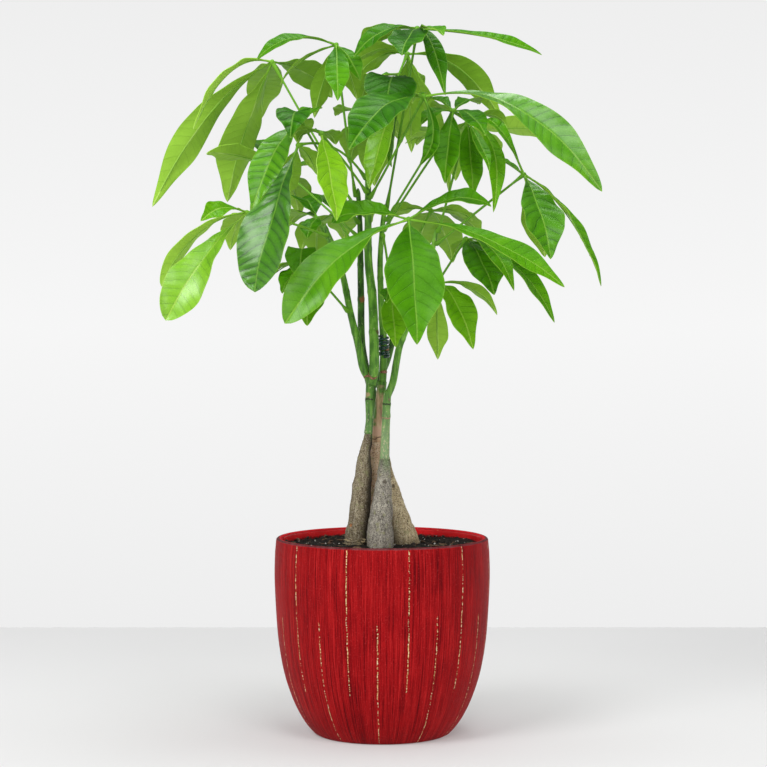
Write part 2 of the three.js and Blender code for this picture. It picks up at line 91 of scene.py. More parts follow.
SHOOTS = {
    "left_base": [
        (-10.3, -3, 225.2, 2.9), (-9.4, -3, 235, 2.6), (-9.7, -3, 249, 2.6), (-8.6, -4, 268, 3),
    ],
    "left_low": [
        (-9.5, -4, 265, 2.6), (-14.2, -6, 274, 2.6), (-17.4, -8, 290, 2.5), (-23.2, -8, 313, 2.2),
        (-29.2, -4, 342, 2), (-36.8, 2, 365, 1.7), (-43.8, 8, 380, 1.4),
    ],
    "left_high": [
        (-7.5, -5, 262, 2.8), (-6, -8, 272, 3.2), (-6, -9, 290, 3), (-7.1, -7, 324, 2.8),
        (-10.1, -3, 352, 2.5), (-10.5, 0, 384, 2.2), (-10.5, 2, 410, 1.9), (-11.3, 4, 438, 1.5),
    ],
    "centre_base": [
        (-4.8, 5, 218.4, 3.4), (-3.4, 4, 233, 3.3), (-1.5, 3, 248, 3.2), (0, 3, 263, 3.2),
    ],
    "centre": [
        (0, 3, 259, 2.8), (1.1, 4, 281, 2.7), (0.8, 4, 297, 2.6), (-0.8, 6, 324, 2.3),
        (-1.5, 6, 352, 2), (0, 5, 376, 1.8), (2.3, 2, 395, 1.6),
    ],
    "front_base": [
        (1.8, -10, 206.6, 3.3), (2.6, -9, 227, 2.9), (3.4, -7, 247, 2.7), (4.1, -6, 256, 2.6),
    ],
    "front": [
        (4.5, -6, 254, 2.4), (8, -5, 263, 2.4), (10.8, -6, 279, 2.3), (13.1, -8, 290, 2.2),
        (19.4, -10, 307, 2.1), (28.4, -10, 331, 1.9), (35.9, -8, 355, 1.7), (40.4, -6, 377, 1.4),
    ],
    "back_base": [
        (1.5, 11, 209.4, 3.4), (-1.5, 13, 229, 3.2), (-6.8, 14, 252, 3), (-11.3, 13, 269, 2.8),
    ],
    "back_left": [
        (-9.8, 13, 262, 2.5), (-15.1, 11, 290, 2.5), (-15.8, 9, 324, 2.3), (-16.2, 11, 352, 2.1),
        (-16.6, 12, 380, 1.8), (-18.1, 10, 407, 1.5),
    ],
    "back_right": [
        (-8.3, 14, 256, 2.4), (1.5, 17, 272, 2.4), (6.8, 16, 289, 2.3), (10.6, 18, 312, 2.1),
        (15.9, 16, 339, 1.9), (21.2, 12, 364, 1.6),
    ],
}
# Each leaf: the shoot it grows on, at what height, how far its stalk bows up, where the stalk ends,
# and its leaflets. Each leaflet: its reach along X, Y and Z, width, arch, roll in degrees, tone of
# green and, on a few, a sideways swing. The tones are partly the leaves' own greens and partly
# painted shade: many leaves in the crown, in the middle and at the back are toned darker.
WIDTH, TONE = 3, 6
LEAVES = {
    "upper_left": ("back_left", 392, 2, (-83, 35, 503), [
        (-93, 25, -108, 27, 36, 75, 0.5), (-58, -27, -52, 18, 38, 40, 0.62),
        (-37, 26, -104, 30, 18, 15, 0.5), (44, 62, -22, 28, 14, -45, 0.35),
        (-14, 105, -35, 28, 20, 0, 0.45),
    ]),
    "top_left": ("back_left", 402, 4, (-34, -5, 512), [
        (-43, 10, -27, 12, 10, -15, 0.38), (2, -40, -43, 18, 12, 0, 0.36),
        (18, -13, -27, 15, 8, 50, 0.36), (15, 40, -36, 20, 8, -15, 0.36),
        (-17, 17, -52, 16, 6, 30, 0.36), (-58, -22, -12, 16, 20, -40, 0.31),
    ]),
    "crown_top": ("centre", 392, 4, (26, -5, 524), [
        (94, 20, -16, 14, 8, 50, 0.38), (18, -55, -9, 15, 5, 0, 0.38),
        (-47, -13, -22, 17, 18, -55, 0.23), (-45, 50, -10, 18, 12, 45, 0.33),
        (-12, -57, -24, 28, 8, 0, 0.18), (20, -27, -51, 18, 26, 35, 0.25),
    ]),
    "crown_back": ("left_high", 436, 6, (19, 35, 509), [
        (72, 15, -48, 26, 32, -65, 0.36), (33, 6, -104, 26, 18, -25, 0.46),
        (4, 60, -70, 22, 14, 0, 0.41), (-40, -7, -7, 16, 14, 50, 0.36),
        (-38, 15, -16, 20, 16, 50, 0.38),
    ]),
    "upper_front": ("left_high", 430, 4, (12, 12, 481), [
        (-10, -67, -29, 38, 40, -12, 0.08), (-22, -30, -75, 22, 6, 0, 0.72),
        (-7, -4, -58, 14, 6, 0, 0.45), (4, 54, -18, 18, 14, 0, 0.4),
    ]),
    "front_top": ("left_high", 400, 0, (30, -45, 471), [
        (127, -25, -69, 30, 54, 76, 0.43), (-53, -65, -41, 36, 24, -35, 0.24),
        (-4, -18, -50, 11, -4, 0, 0.3, 18), (-8, 30, -2, 14, 8, 0, 0.4),
    ]),
    "left_front": ("left_high", 414, 22, (-60, -65, 435), [
        (-31, -30, -104, 40, 14, -20, 0.28), (-14, 36, -40, 20, 0, 0, 0.45),
        (13, 25, -20, 16, 8, 0, 0.5),
    ]),
    "left_middle": ("left_high", 404, 4, (-44, -55, 444), [
        (12, -15, -63, 27, 9, 0, 0.8), (-18, 14, -4, 16, 8, 0, 0.32), (-20, 4, 0, 11, 6, 20, 0.28),
        (10, 34, -6, 18, 8, 0, 0.32),
    ]),
    "left_upper": ("back_left", 382, 6, (-59, -35, 454), [
        (-6, -53, -14, 25, 24, 0, 0.15), (-34, -35, -65, 27, 22, -35, 0.45),
        (11, 40, 11, 16, 6, 0, 0.4), (-4, 45, -12, 22, 12, 0, 0.4),
    ]),
    "right_upper": ("centre", 384, 4, (52, -25, 462), [
        (-7, -25, -53, 22, 8, 0, 0.37), (-24, -18, -10, 14, 8, -30, 0.31),
        (-20, 33, 11, 16, 8, 0, 0.27), (22, -40, -20, 18, 12, 20, 0.27),
        (21, 40, 8, 18, 10, 0, 0.26),
    ]),
    "right_inner": ("front", 375, 4, (63, -5, 456), [
        (4, -20, -57, 20, 4, 0, 0.45), (18, -30, -68, 15, 26, 20, 0.5, 22),
        (16, -33, -37, 10, 4, 0, 0.4), (31, 13, -3, 14, 14, -30, 0.35),
        (-17, 27, -26, 20, 8, 0, 0.4), (-28, 26, 12, 18, 6, 30, 0.35),
    ]),
    "right_low": ("front", 366, 2, (104, -20, 416), [
        (19, 48, -60, 24, 8, -15, 0.4), (18, -40, -61, 32, 14, 5, 0.36),
        (60, 8, -81, 21, 28, 35, 0.45), (-29, 18, 42, 12, 18, -30, 0.4),
        (-29, 50, 17, 14, 6, 30, 0.4),
    ]),
    "front_centre": ("front", 334, 4, (19, -60, 382), [
        (6, -38, -88, 42, 18, 0, 0.38), (-88, -28, -74, 38, 28, -70, 0.48),
        (111, -18, -48, 24, 20, 60, 0.42), (-57, 18, -1, 32, 12, -45, 0.4),
        (61, 18, 11, 20, 18, 50, 0.35),
    ]),
    "right_under": ("front", 308, 4, (62, 0, 369), [
        (20, -32, -41, 34, 12, 15, 0.35), (34, -48, -37, 16, 24, 20, 0.45),
        (67, -8, -61, 21, 26, 40, 0.4), (-8, 22, -11, 10, 4, 0, 0.35),
    ]),
    "low_right": ("front", 320, 2, (40, -8, 336), [
        (47, 16, -22, 14, 18, -30, 0.4), (27, -18, -48, 24, 22, 50, 0.6),
        (2, 30, -56, 16, 0, 0, 0.5),
    ]),
    "low_centre": ("centre", 372, 4, (6, -22, 333), [
        (4, -16, -43, 22, 4, 0, 0.6), (-3, -30, -9, 12, 4, 0, 0.4), (15, 42, -10, 12, 6, 0, 0.4),
    ]),
    "left_low": ("left_low", 372, 4, (-99, -25, 388), [
        (-57, -30, -78, 32, 16, -70, 0.74), (-65, 7, -53, 18, 28, 40, 0.6),
        (-31, -30, -6, 16, 12, -60, 0.55), (-16, 55, -26, 22, 14, 0, 0.5),
    ]),
    "left_under": ("left_low", 316, 2, (-57, -35, 352), [
        (3, -17, -46, 26, 6, 0, 0.52), (-31, 15, -18, 24, 10, -20, 0.32),
        (-16, -7, -23, 22, 6, -15, 0.47), (-2, -40, -19, 22, 34, 0, 0.37),
        (18, 45, 0, 16, 6, 0, 0.37),
    ]),
    "left_back": ("left_low", 360, 0, (-49, 28, 385), [
        (-15, 34, 16, 26, 10, 0, 0.25), (-7, -23, -15, 16, 6, 0, 0.3),
        (-2, 48, -30, 22, 10, 0, 0.3), (-24, 67, -3, 24, 12, 0, 0.3),
    ]),
    "behind_left": ("back_left", 372, 2, (-75, 50, 422), [
        (-38, 62, 22, 26, 18, 0, 0.4), (-21, 60, -52, 28, 14, 0, 0.4),
        (9, 82, -31, 26, 14, 0, 0.4), (32, 42, 3, 22, 8, 0, 0.4), (-57, -45, 12, 20, 6, 50, 0.45),
    ]),
    "behind_right": ("centre", 376, 4, (51, 70, 452), [
        (100, -6, -3, 24, 10, -65, 0.6), (44, 60, -21, 26, 20, 0, 0.4),
        (8, 72, -32, 28, 16, 0, 0.4), (-24, 55, -5, 26, 12, 0, 0.4), (-33, 4, -8, 20, 6, 0, 0.45),
    ]),
    "behind_centre": ("left_high", 410, 2, (-8, 80, 464), [
        (-18, 60, -32, 28, 14, 0, 0.37), (2, 55, -49, 26, 14, 0, 0.37),
        (24, 58, -14, 26, 12, 0, 0.37), (-29, 30, 4, 24, 10, 0, 0.37),
    ]),
    "behind_low": ("back_left", 358, 2, (-37, 75, 389), [
        (-28, 37, -26, 26, 12, 0, 0.34), (7, 63, -18, 24, 12, 0, 0.34),
        (29, 43, -4, 24, 10, 0, 0.34), (-15, 55, 14, 22, 14, 0, 0.34),
    ]),
    "behind_right_low": ("back_right", 360, 2, (37, 35, 391), [
        (-32, 12, -4, 16, 8, 45, 0.36), (32, -5, -7, 14, 8, -45, 0.36),
        (-11, 75, -38, 28, 14, 0, 0.36), (19, 80, -38, 26, 14, 0, 0.36),
        (41, 65, -17, 22, 12, 0, 0.36),
    ]),
    "behind_top": ("left_high", 434, 2, (-5, 75, 495), [
        (-12, 42, -19, 24, 14, 0, 0.45), (20, 67, -20, 26, 16, 0, 0.45),
        (39, 45, -6, 24, 12, 0, 0.45), (-28, 8, -6, 20, 8, 0, 0.45),
    ]),
}

# A leaflet: how wide it is along its length, how it is folded and bent, its mesh and its veins.
STALK_WIDTH = 1.7
BARE_PART = 0.06
WIDEST = 1.15
FULLNESS = 0.75
BEND_AT = 0.55
FOLD = 0.22
ROOT_OFFSET = 0.8
BLADE = 0.5
BLADE_ACROSS = 12
BLADE_ALONG = 64
# A tip is drawn out from its start on, unless the leaflet is round-ended: widest near its tip.
DRIP_TIP = 0.32
TIP_START = 0.72
TIP_LENGTH = 0.2
ROUND_TIP = 0.5
CURL_START = 0.8
CURL = 3
VEIN_SPACING = 7.3
VEIN_SLANT = 0.38
VEIN_CURVE = 0.017

# A leaf's stalk, and the knob that its leaflets grow from.
STALK_RADIUS = 0.9
HUB_RADIUS = 2.1

TIE_SHOOT = "centre"
TIE_BOTTOM, TIE_TOP = 281.2, 296.8
TIE_TURNS = 8
TIE_WIRE = 0.85
TIE_STEPS = 20


class Wire:
    """A socket's value. Python's operators on it add the Math nodes for them."""

    def __init__(self, nodes, socket):
        self.nodes = nodes
        self.socket = socket

    def math(self, operation, *others):
        return self.nodes.node("Math", {"operation": operation}, [self, *others])

    def __add__(self, other): return self.math("ADD", other)
    def __radd__(self, other): return self.math("ADD", other)
    def __sub__(self, other): return self.math("SUBTRACT", other)
    def __mul__(self, other): return self.math("MULTIPLY", other)
    def __truediv__(self, other): return self.math("DIVIDE", other)
    def __gt__(self, other): return self.math("GREATER_THAN", other)
    def __abs__(self): return self.math("ABSOLUTE")

    def __rsub__(self, other):
        return self.nodes.node("Math", {"operation": "SUBTRACT"}, [other, self])

    def ramp(self, low, high):
        """Smooth step from 0 to 1 as the value goes from low to high."""
        return self.nodes.node("MapRange", {"interpolation_type": "SMOOTHSTEP"},
                               [self, low, high])


class Nodes:
    """The nodes of a material or of the sky."""

    def __init__(self, tree):
        self.tree = tree

    def node(self, kind, settings=None, inputs=(), out=0):
        """Adds a node. Inputs are values or wires in the order of its sockets, or by name."""
        made = self.tree.nodes.new("ShaderNode" + kind)
        for key, value in (settings or {}).items():
            setattr(made, key, value)
        pairs = inputs.items() if isinstance(inputs, dict) else enumerate(inputs)
        for key, value in pairs:
            if isinstance(value, Wire):
                self.tree.links.new(value.socket, made.inputs[key])
            else:
                made.inputs[key].default_value = value
        return Wire(self, made.outputs[out])

    def vector(self, operation, *inputs, out="Vector"):
        return self.node("VectorMath", {"operation": operation}, inputs, out)

    def parts(self, vector):
        split = self.node("SeparateXYZ", {}, [vector]).socket.node
        return [Wire(self, socket) for socket in split.outputs]

    def joined(self, *parts):
        return self.node("CombineXYZ", {}, parts)

    def colours(self, value, *stops):
        """A colour for each part of the way from 0 to 1, as stops of (part, r, g, b)."""
        made = self.node("ValToRGB", {}, [value])
        ramp = made.socket.node.color_ramp
        while len(ramp.elements) < len(stops):
            ramp.elements.new(0.5)
        for element, (part, *colour) in zip(ramp.elements, stops):
            element.position = part
            element.color = (*colour, 1)
        return made


class Finish(Nodes):
    """A material: its fixed values, and the nodes that vary over a surface."""

    def __init__(self, name, **fixed):
        self.material = bpy.data.materials.new(name)
        self.material.use_nodes = True
        super().__init__(self.material.node_tree)
        self.shader = self.tree.nodes["Principled BSDF"]
        for socket, value in fixed.items():
            self.shader.inputs[socket.replace("_", " ")].default_value = value
        self.place = self.node("TexCoord", out="Object")

    def attribute(self, name, out="Fac"):
        return self.node("Attribute", {"attribute_name": name}, out=out)

    def stretched(self, x, y, z):
        return self.vector("MULTIPLY", self.place, (x, y, z))

    def noise(self, scale, detail=3, roughness=0.55, at=None):
        return self.node("TexNoise", {}, {"Vector": at or self.place, "Scale": scale,
                                          "Detail": detail, "Roughness": roughness})

    def cells(self, scale, at=None):
        return self.node("TexVoronoi", {}, {"Vector": at or self.place, "Scale": scale})

    def base(self, value, *stops):
        """The colours under all paint."""
        self.colour = self.colours(value, *stops)

    def paint(self, share, colour):
        """Covers a share of the colour so far with another one."""
        over = colour if isinstance(colour, Wire) else (*colour, 1)
        self.colour = self.node("Mix", {"data_type": "RGBA"},
                                {0: share, 6: self.colour, 7: over}, out=2)

    def near(self, centre, size):
        """1 at a ragged spot on the piece, 0 beyond size from it. Both are in millimetres."""
        centre = tuple(MM * value for value in centre)
        gap = self.vector("DISTANCE", self.place, centre, out="Value")
        gap = gap + (self.noise(420) - 0.5) * (size * 1.3 * MM)
        return gap.ramp(size * MM, size * 0.5 * MM)

    def feed(self, socket, wire):
        self.tree.links.new(wire.socket, self.shader.inputs[socket])

    def show(self, roughness, height, depth, coat=None, metal=None):
        """Feeds the shader. Height is 0 to 1, and depth is how deep that is, in metres."""
        feeds = {"Base Color": self.colour, "Roughness": roughness, "Coat Weight": coat,
                 "Metallic": metal,
                 "Normal": self.node("Bump", {}, {"Strength": 1.0, "Distance": depth,
                                                  "Height": height})}
        for socket, wire in feeds.items():
            if wire:
                self.feed(socket, wire)
        return self.material


def leaf_base(finish):
    """The wires that both sides of a blade share."""
    gap, rank, edge = finish.parts(finish.attribute("blade", "Vector"))
    wave = abs((rank + (gap > 0.0) * 0.5).math("FRACT") - 0.5)
    vein = wave.ramp(0.43, 0.485)
    midrib = abs(gap).ramp(0.085, 0.04)
    margin = abs(edge).ramp(0.94, 0.99)
    return wave, vein, midrib, margin, abs(gap)


def leaf_top():
    finish = Finish("leaf_top", Specular_IOR_Level=0.14, Specular_Tint=(0.7, 1, 0.35, 1),
                    Coat_Roughness=0.3)
    tone = finish.attribute("tone")
    wave, vein, midrib, margin, across = leaf_base(finish)
    patches = finish.noise(45)
    fine = finish.noise(900)
    net = finish.cells(700)
    crease = finish.attribute("crease")
    gloss = finish.attribute("gloss")
    # Painted shade: quilted leaves are darker in the valleys along their veins.
    shade = tone + (patches - 0.5) * 0.4 + (wave - 0.25) * crease * -0.24 - vein * crease * 0.14
    shade = shade + (fine - 0.5) * 0.14
    finish.base(
        shade, (0.0, 0.006, 0.044, 0.001), (0.2, 0.02, 0.12, 0.001), (0.45, 0.068, 0.255, 0.002),
        (0.65, 0.13, 0.36, 0.005), (0.85, 0.22, 0.5, 0.01), (1.0, 0.33, 0.64, 0.016))
    pale = finish.colours(tone, (0.0, 0.09, 0.22, 0.03), (0.5, 0.2, 0.42, 0.04),
                          (1.0, 0.5, 0.75, 0.1))
    finish.paint(vein * 0.06, pale)
    finish.paint(midrib * 0.7, pale)
    finish.paint(margin * 0.4, pale)
    height = ((0.55 - wave) * (crease * 0.55 + 0.25) + vein * -0.28 + midrib * -0.3 + net * 0.2
              + fine * 0.08 + across * 1.6)
    roughness = 0.4 + (fine - 0.5) * 0.12 + (patches - 0.5) * 0.2 + vein * 0.1
    return finish.show(roughness, height, 0.0008, coat=gloss * (patches + 0.5))


def leaf_under():
    finish = Finish("leaf_under", Specular_IOR_Level=0.12, Specular_Tint=(0.7, 1, 0.35, 1),
                    Emission_Strength=0.12)
    tone = finish.attribute("tone")
    wave, vein, midrib, _, across = leaf_base(finish)
    patches = finish.noise(40)
    fine = finish.noise(1100, 2)
    shade = tone + (patches - 0.5) * 0.25 + (fine - 0.5) * 0.1
    finish.base(
        shade, (0.0, 0.05, 0.13, 0.007), (0.35, 0.155, 0.33, 0.022), (0.65, 0.32, 0.57, 0.06),
        (1.0, 0.52, 0.78, 0.2))
    finish.paint(vein * 0.15, (0.09, 0.22, 0.025))
    finish.paint(midrib * 0.5, (0.5, 0.72, 0.18))
    height = vein * 0.15 + midrib * 0.6 + fine * 0.15 + wave * 0.3 - across * 1.2
    # Painted light: the underside glows faintly in its own colour, standing in for light through
    # the leaf.
    finish.feed("Emission Color", finish.colour)
    return finish.show(0.55 + (fine - 0.5) * 0.15, height, 0.0006)


def leaf_stalk():
    finish = Finish("leaf_stalk", Specular_IOR_Level=0.2)
    tone = finish.attribute("tone")
    along = finish.noise(500, at=finish.stretched(1, 1, 0.3))
    finish.base(tone + (along - 0.5) * 0.3, (0.0, 0.03, 0.13, 0.008),
                (0.5, 0.15, 0.38, 0.02), (1.0, 0.34, 0.62, 0.06))
    return finish.show(0.4 + along * 0.15, along, 0.0001)


def green_stem(name, spots, rings=(), brown_below=0.0, brown_from=0.0, bloom=0.0, dark=0.0):
    """Young green bark with pale flecks.

    It has scars at spots of (x, y, z, size, r, g, b) and rings of (height, half width, r, g, b).
    Below brown_below it is peeled and brown where x is over brown_from. Bloom is how pale its foot
    is, and dark is how much darker it is than the others: partly its own darker green and partly
    painted shade, most on the back stem.
    """
    finish = Finish(name, Specular_IOR_Level=0.35)
    across, _, height = finish.parts(finish.place)
    strokes = finish.noise(420, 4, at=finish.stretched(1, 1, 0.12))
    flecks = finish.noise(900, 2, at=finish.stretched(1, 1, 0.5))
    patches = finish.noise(130)
    finish.base(strokes * 0.7 + patches * 0.3 - dark, (0.26, 0.012, 0.05, 0.003),
                (0.46, 0.08, 0.245, 0.014), (0.66, 0.24, 0.52, 0.055))
    low = height.ramp(0.265, 0.205)
    finish.paint(height.ramp(0.3, 0.22) * 0.4, (0.08, 0.15, 0.06))
    finish.paint(low * (strokes + 0.5) * bloom, (0.4, 0.48, 0.3))
    finish.paint((flecks + low * 0.14).ramp(0.67, 0.73) * 0.75, (0.5, 0.45, 0.28))
    if brown_below:
        woody = finish.colours(strokes, (0.3, 0.26, 0.15, 0.085), (0.5, 0.54, 0.35, 0.2),
                               (0.7, 0.74, 0.55, 0.36))
        edge = height + (patches - 0.5) * 0.05
        peeled = (across + (strokes - 0.5) * 0.006).ramp(brown_from - 0.0008, brown_from + 0.0008)
        peeled = peeled.math("MAXIMUM", edge.ramp(0.236, 0.23))
        peeled = peeled * edge.ramp(brown_below + 0.006, brown_below - 0.006)
        finish.paint(peeled, woody)
    relief = strokes * 0.6 + flecks * 0.4
    for x, y, z, size, *paint in spots:
        mark = finish.near((x, y, z), size)
        finish.paint(mark * 0.85, paint)
        relief = relief - mark * 0.5
    for level, half, *paint in rings:
        wave = abs(height + (patches - 0.5) * 0.006 - level * MM)
        ring = wave.ramp(half * MM, half * 0.4 * MM)
        finish.paint(ring * 0.85, paint)
        relief = relief - ring * 0.6
    return finish.show(0.4 + strokes * 0.25, relief, 0.0004)


def bark(name, dark, mid, light, green_above, scars=(), shaded_side=0.0, slant=0.0):
    """Rough bark that turns green above a height, with scars as (x, y, z, size, r, g, b).

    Painted shade darkens the side given by shaded_side, 1 for +X or -1 for -X, standing in for
    the shadow of the trunk beside it. With a slant the green reaches lower at the right.
    """
    finish = Finish(name, Specular_IOR_Level=0.25)
    across, _, height = finish.parts(finish.place)
    coarse = finish.noise(190, 5, 0.7, at=finish.stretched(1, 1, 0.35))
    grain = finish.noise(1100, 3, 0.7)
    cracks = finish.cells(420, at=finish.stretched(1, 1, 0.4))
    rings = finish.noise(330, at=finish.stretched(0.12, 0.12, 1))
    lichen = finish.noise(210, 4)
    streaks = finish.noise(800, at=finish.stretched(1, 1, 0.12))
    shade = coarse * 0.35 + grain * 0.4 + streaks * 0.25
    finish.base(shade, (0.38, *dark), (0.5, *mid), (0.6, *light))
    finish.paint(grain.ramp(0.57, 0.63) * 0.6, (0.5, 0.47, 0.4))
    finish.paint(grain.ramp(0.44, 0.38) * 0.75, (0.025, 0.018, 0.012))
    finish.paint(lichen.ramp(0.56, 0.68) * 0.6, (0.24, 0.24, 0.11))
    finish.paint(rings.ramp(0.33, 0.25) * 0.45, (0.035, 0.027, 0.018))
    # Painted shade: the side that faces the next trunk is darkened as if in its shadow.
    if shaded_side:
        face = finish.parts(finish.node("NewGeometry", out="Normal"))[0] * shaded_side
        finish.paint((face + (coarse - 0.5) * 0.5).ramp(0.3, 0.85) * 0.8,
                     (0.02, 0.014, 0.008))
    damp = height.ramp(0.152, 0.14)
    finish.paint(damp * 0.25, (0.04, 0.03, 0.018))
    top = height + (coarse - 0.5) * 0.04 + (across + 0.011) * slant
    young = top.ramp(green_above - 0.008, green_above + 0.012)
    green = finish.colours(shade, (0.36, 0.04, 0.1, 0.02), (0.6, 0.16, 0.28, 0.07))
    finish.paint(young * 0.8, green)
    relief = coarse * 0.6 + grain * 0.5 + cracks * 0.3 + rings * 0.4
    for x, y, z, size, *paint in scars:
        scar = finish.near((x, y, z), size)
        finish.paint(scar * 0.8, paint)
        relief = relief - scar * 0.4
    return finish.show(0.82 + (grain - 0.5) * 0.2, relief, 0.0013)


def pot_outside():
    """Red glaze combed upright, with dotted gold lines.

    One set of lines hangs from the rim, and the other rises from the foot between them.
    """
    finish = Finish("pot_red", Specular_IOR_Level=0.04)
    x, y, z = finish.parts(finish.place)
    flat = finish.stretched(1, 1, 0)
    wall_x, wall_y, _ = finish.parts(finish.vector("NORMALIZE", flat))

    def combed(scale, roughness, draw=0.014):
        at = finish.joined(wall_x * 0.08, wall_y * 0.08, z * draw)
        return finish.noise(scale, 3, roughness, at)

    fine = combed(1400, 0.65)
    broad = combed(260, 0.6)
    short = combed(800, 0.6, 0.07)
    pits = finish.noise(1100, 3, 0.75)
    clouds = finish.noise(28)
    shade = fine * 0.52 + short * 0.22 + broad * 0.14 + clouds * 0.12
    finish.base(shade, (0.37, 0.06, 0.001, 0.003), (0.45, 0.22, 0.003, 0.005),
                (0.54, 0.37, 0.007, 0.009), (0.64, 0.56, 0.022, 0.022))
    finish.paint(pits.ramp(0.6, 0.68) * 0.5, (0.66, 0.07, 0.07))
    finish.paint(pits.ramp(0.42, 0.35) * 0.55, (0.1, 0.002, 0.004))

    turn = finish.node("Math", {"operation": "ARCTAN2"}, [x, y * -1.0])
    wobble = (finish.noise(90, at=finish.joined(0.0, 0.0, z)) - 0.5) * 0.04
    step = 2 * math.pi / GOLD_LINES
    dots = finish.noise(1100, 2, 0.6, at=finish.stretched(0.4, 0.4, 1))
    fade = finish.noise(45, 2)
    gold = None
    for first, low, high in GOLD_SETS:
        turns = (turn + wobble - math.radians(first)) / step + 40.5
        uneven = finish.node("TexWhiteNoise", {"noise_dimensions": "1D"},
                             {"W": turns.math("FLOOR") + first})
        off = abs(turns.math("FRACT") - 0.5) * (step * POT_OUTLINE[-1][0])
        line = (off + (pits - 0.5) * 0.7).ramp(0.55, 0.3)
        low_end = z - uneven * 0.008
        line = line * low_end.ramp(low - 0.002, low) * low_end.ramp(high + 0.001, high - 0.002)
        gold = line if gold is None else gold.math("MAXIMUM", line)
    gold = gold * (dots + (fade - 0.5) * 0.4).ramp(0.46, 0.54)
    brass = finish.colours(dots, (0.44, 0.45, 0.17, 0.05), (0.56, 0.95, 0.6, 0.25),
                           (0.68, 1.0, 0.9, 0.65))
    finish.paint(gold, brass)
    worn = (z + (broad - 0.5) * 0.001).ramp(0.1453, 0.146)
    dusk = finish.colours(pits * 0.6 + broad * 0.4, (0.38, 0.07, 0.012, 0.016),
                          (0.6, 0.2, 0.055, 0.06))
    far = finish.vector("LENGTH", flat, out="Value")
    lip = (RIM_RADIUS - WALL / 2) * MM
    outer = (far + (broad - 0.5) * 0.001).ramp(lip - 0.0008, lip + 0.0008)
    finish.paint(worn, (0.6, 0.012, 0.018))
    finish.paint(worn * outer, dusk)
    relief = fine * 0.5 + short * 0.35 + pits * 0.25 + broad * 0.2 + gold * 0.8
    roughness = 0.5 + (short - 0.5) * 0.3 - gold * 0.15 + worn * 0.15
    return finish.show(roughness, relief, 0.0011, metal=gold * 0.55)


def pot_inside():
    finish = Finish("pot_glaze", Coat_Weight=0.45, Coat_Roughness=0.22, Specular_IOR_Level=0.2)
    z = finish.parts(finish.place)[2]
    soft = finish.noise(60)
    fine = finish.noise(700, 2)
    finish.base(soft, (0.35, 0.6, 0.006, 0.01), (0.65, 0.85, 0.015, 0.02))
    grime = (z + (fine - 0.5) * 0.004).ramp(0.1425, 0.1405)
    finish.paint(grime * 0.75, (0.03, 0.008, 0.006))
    return finish.show(0.26 + (soft - 0.5) * 0.1 + grime * 0.4, fine, 0.00015)


def potting_soil():
    finish = Finish("potting_soil", Specular_IOR_Level=0.2)
    lumps = finish.noise(420, 5, 0.7)
    grains = finish.cells(900)
    bits = finish.noise(1300, 2)
    finish.base(lumps, (0.35, 0.003, 0.002, 0.002), (0.55, 0.009, 0.007, 0.005),
                (0.7, 0.035, 0.026, 0.019))
    finish.paint(bits.ramp(0.7, 0.76) * 0.7, (0.2, 0.19, 0.18))
    return finish.show(0.85 + (lumps - 0.5) * 0.2, lumps + grains * 0.5, 0.0015)


def crumb_finish(name, dark, light, roughness=0.85):
    """A dull, lumpy finish for loose bits, from dark to light."""
    finish = Finish(name, Specular_IOR_Level=0.3)
    lumps = finish.noise(700, 4, 0.7)
    finish.base(lumps, (0.35, *dark), (0.65, *light))
    return finish.show(roughness + (lumps - 0.5) * 0.2, lumps, 0.0006)


def tie_plastic():
    finish = Finish("tie_plastic", Coat_Weight=0.4, Coat_Roughness=0.1)
    soft = finish.noise(500)
    finish.base(soft, (0.35, 0.002, 0.018, 0.013), (0.65, 0.008, 0.07, 0.05))
    return finish.show(0.22 + soft * 0.15, soft, 0.0002)


def paper_floor(name, low, high, near, far, glow):
    """Studio paper that changes slowly from near to far along Y, and fades out all round."""
    finish = Finish(name, Specular_IOR_Level=0.1, Roughness=0.9, Emission_Color=(1, 1, 1, 1),
                    Emission_Strength=glow)
    y = finish.parts(finish.place)[1]
    finish.base(y.ramp(near, far), (0.0, low, low, low), (1.0, high, high, high))
    finish.feed("Base Color", finish.colour)
    finish.feed("Alpha", finish.vector("LENGTH", finish.place, out="Value").ramp(1.25, 0.7))
    return finish.material


def select_only(*pieces):
    bpy.ops.object.select_all(action="DESELECT")
    for piece in pieces:
        piece.select_set(True)
    bpy.context.view_layer.objects.active = pieces[0]


def mode(name):
    bpy.ops.object.mode_set(mode=name)


def join(pieces):
    select_only(*pieces)
    bpy.ops.object.join()
    return bpy.context.object


def clone(piece, name):
    """A copy of a piece with a mesh of its own."""
    copy = piece.copy()
    copy.data = piece.data.copy()
    copy.name = copy.data.name = name
    bpy.context.scene.collection.objects.link(copy)
    return copy


def drop(piece):
    mesh = piece.data
    bpy.data.objects.remove(piece)
    bpy.data.meshes.remove(mesh)


def add(operator, **settings):
    """Adds one of Blender's basic shapes, alone in the selection."""
    bpy.ops.object.select_all(action="DESELECT")
    operator(**settings)
    return bpy.context.object


def modify(piece, kind, **settings):
    """Adds a modifier and applies it."""
    select_only(piece)
    modifier = piece.modifiers.new(kind.title(), kind)
    for key, value in settings.items():
        setattr(modifier, key, value)
    bpy.ops.object.modifier_apply(modifier=modifier.name)


def roughen(piece, name, size, strength, depth=2, **settings):
    """Pushes a piece in and out by a cloud of lumps. Size and strength are in metres."""
    texture = bpy.data.textures.new(name, "CLOUDS")
    texture.noise_scale = size
    texture.noise_depth = depth
    modify(piece, "DISPLACE", texture=texture, strength=strength, mid_level=0.5,
           texture_coords="GLOBAL", **settings)


def places(piece):
    flat = np.empty(len(piece.data.vertices) * 3)
    piece.data.vertices.foreach_get("co", flat)
    return flat.reshape(-1, 3)


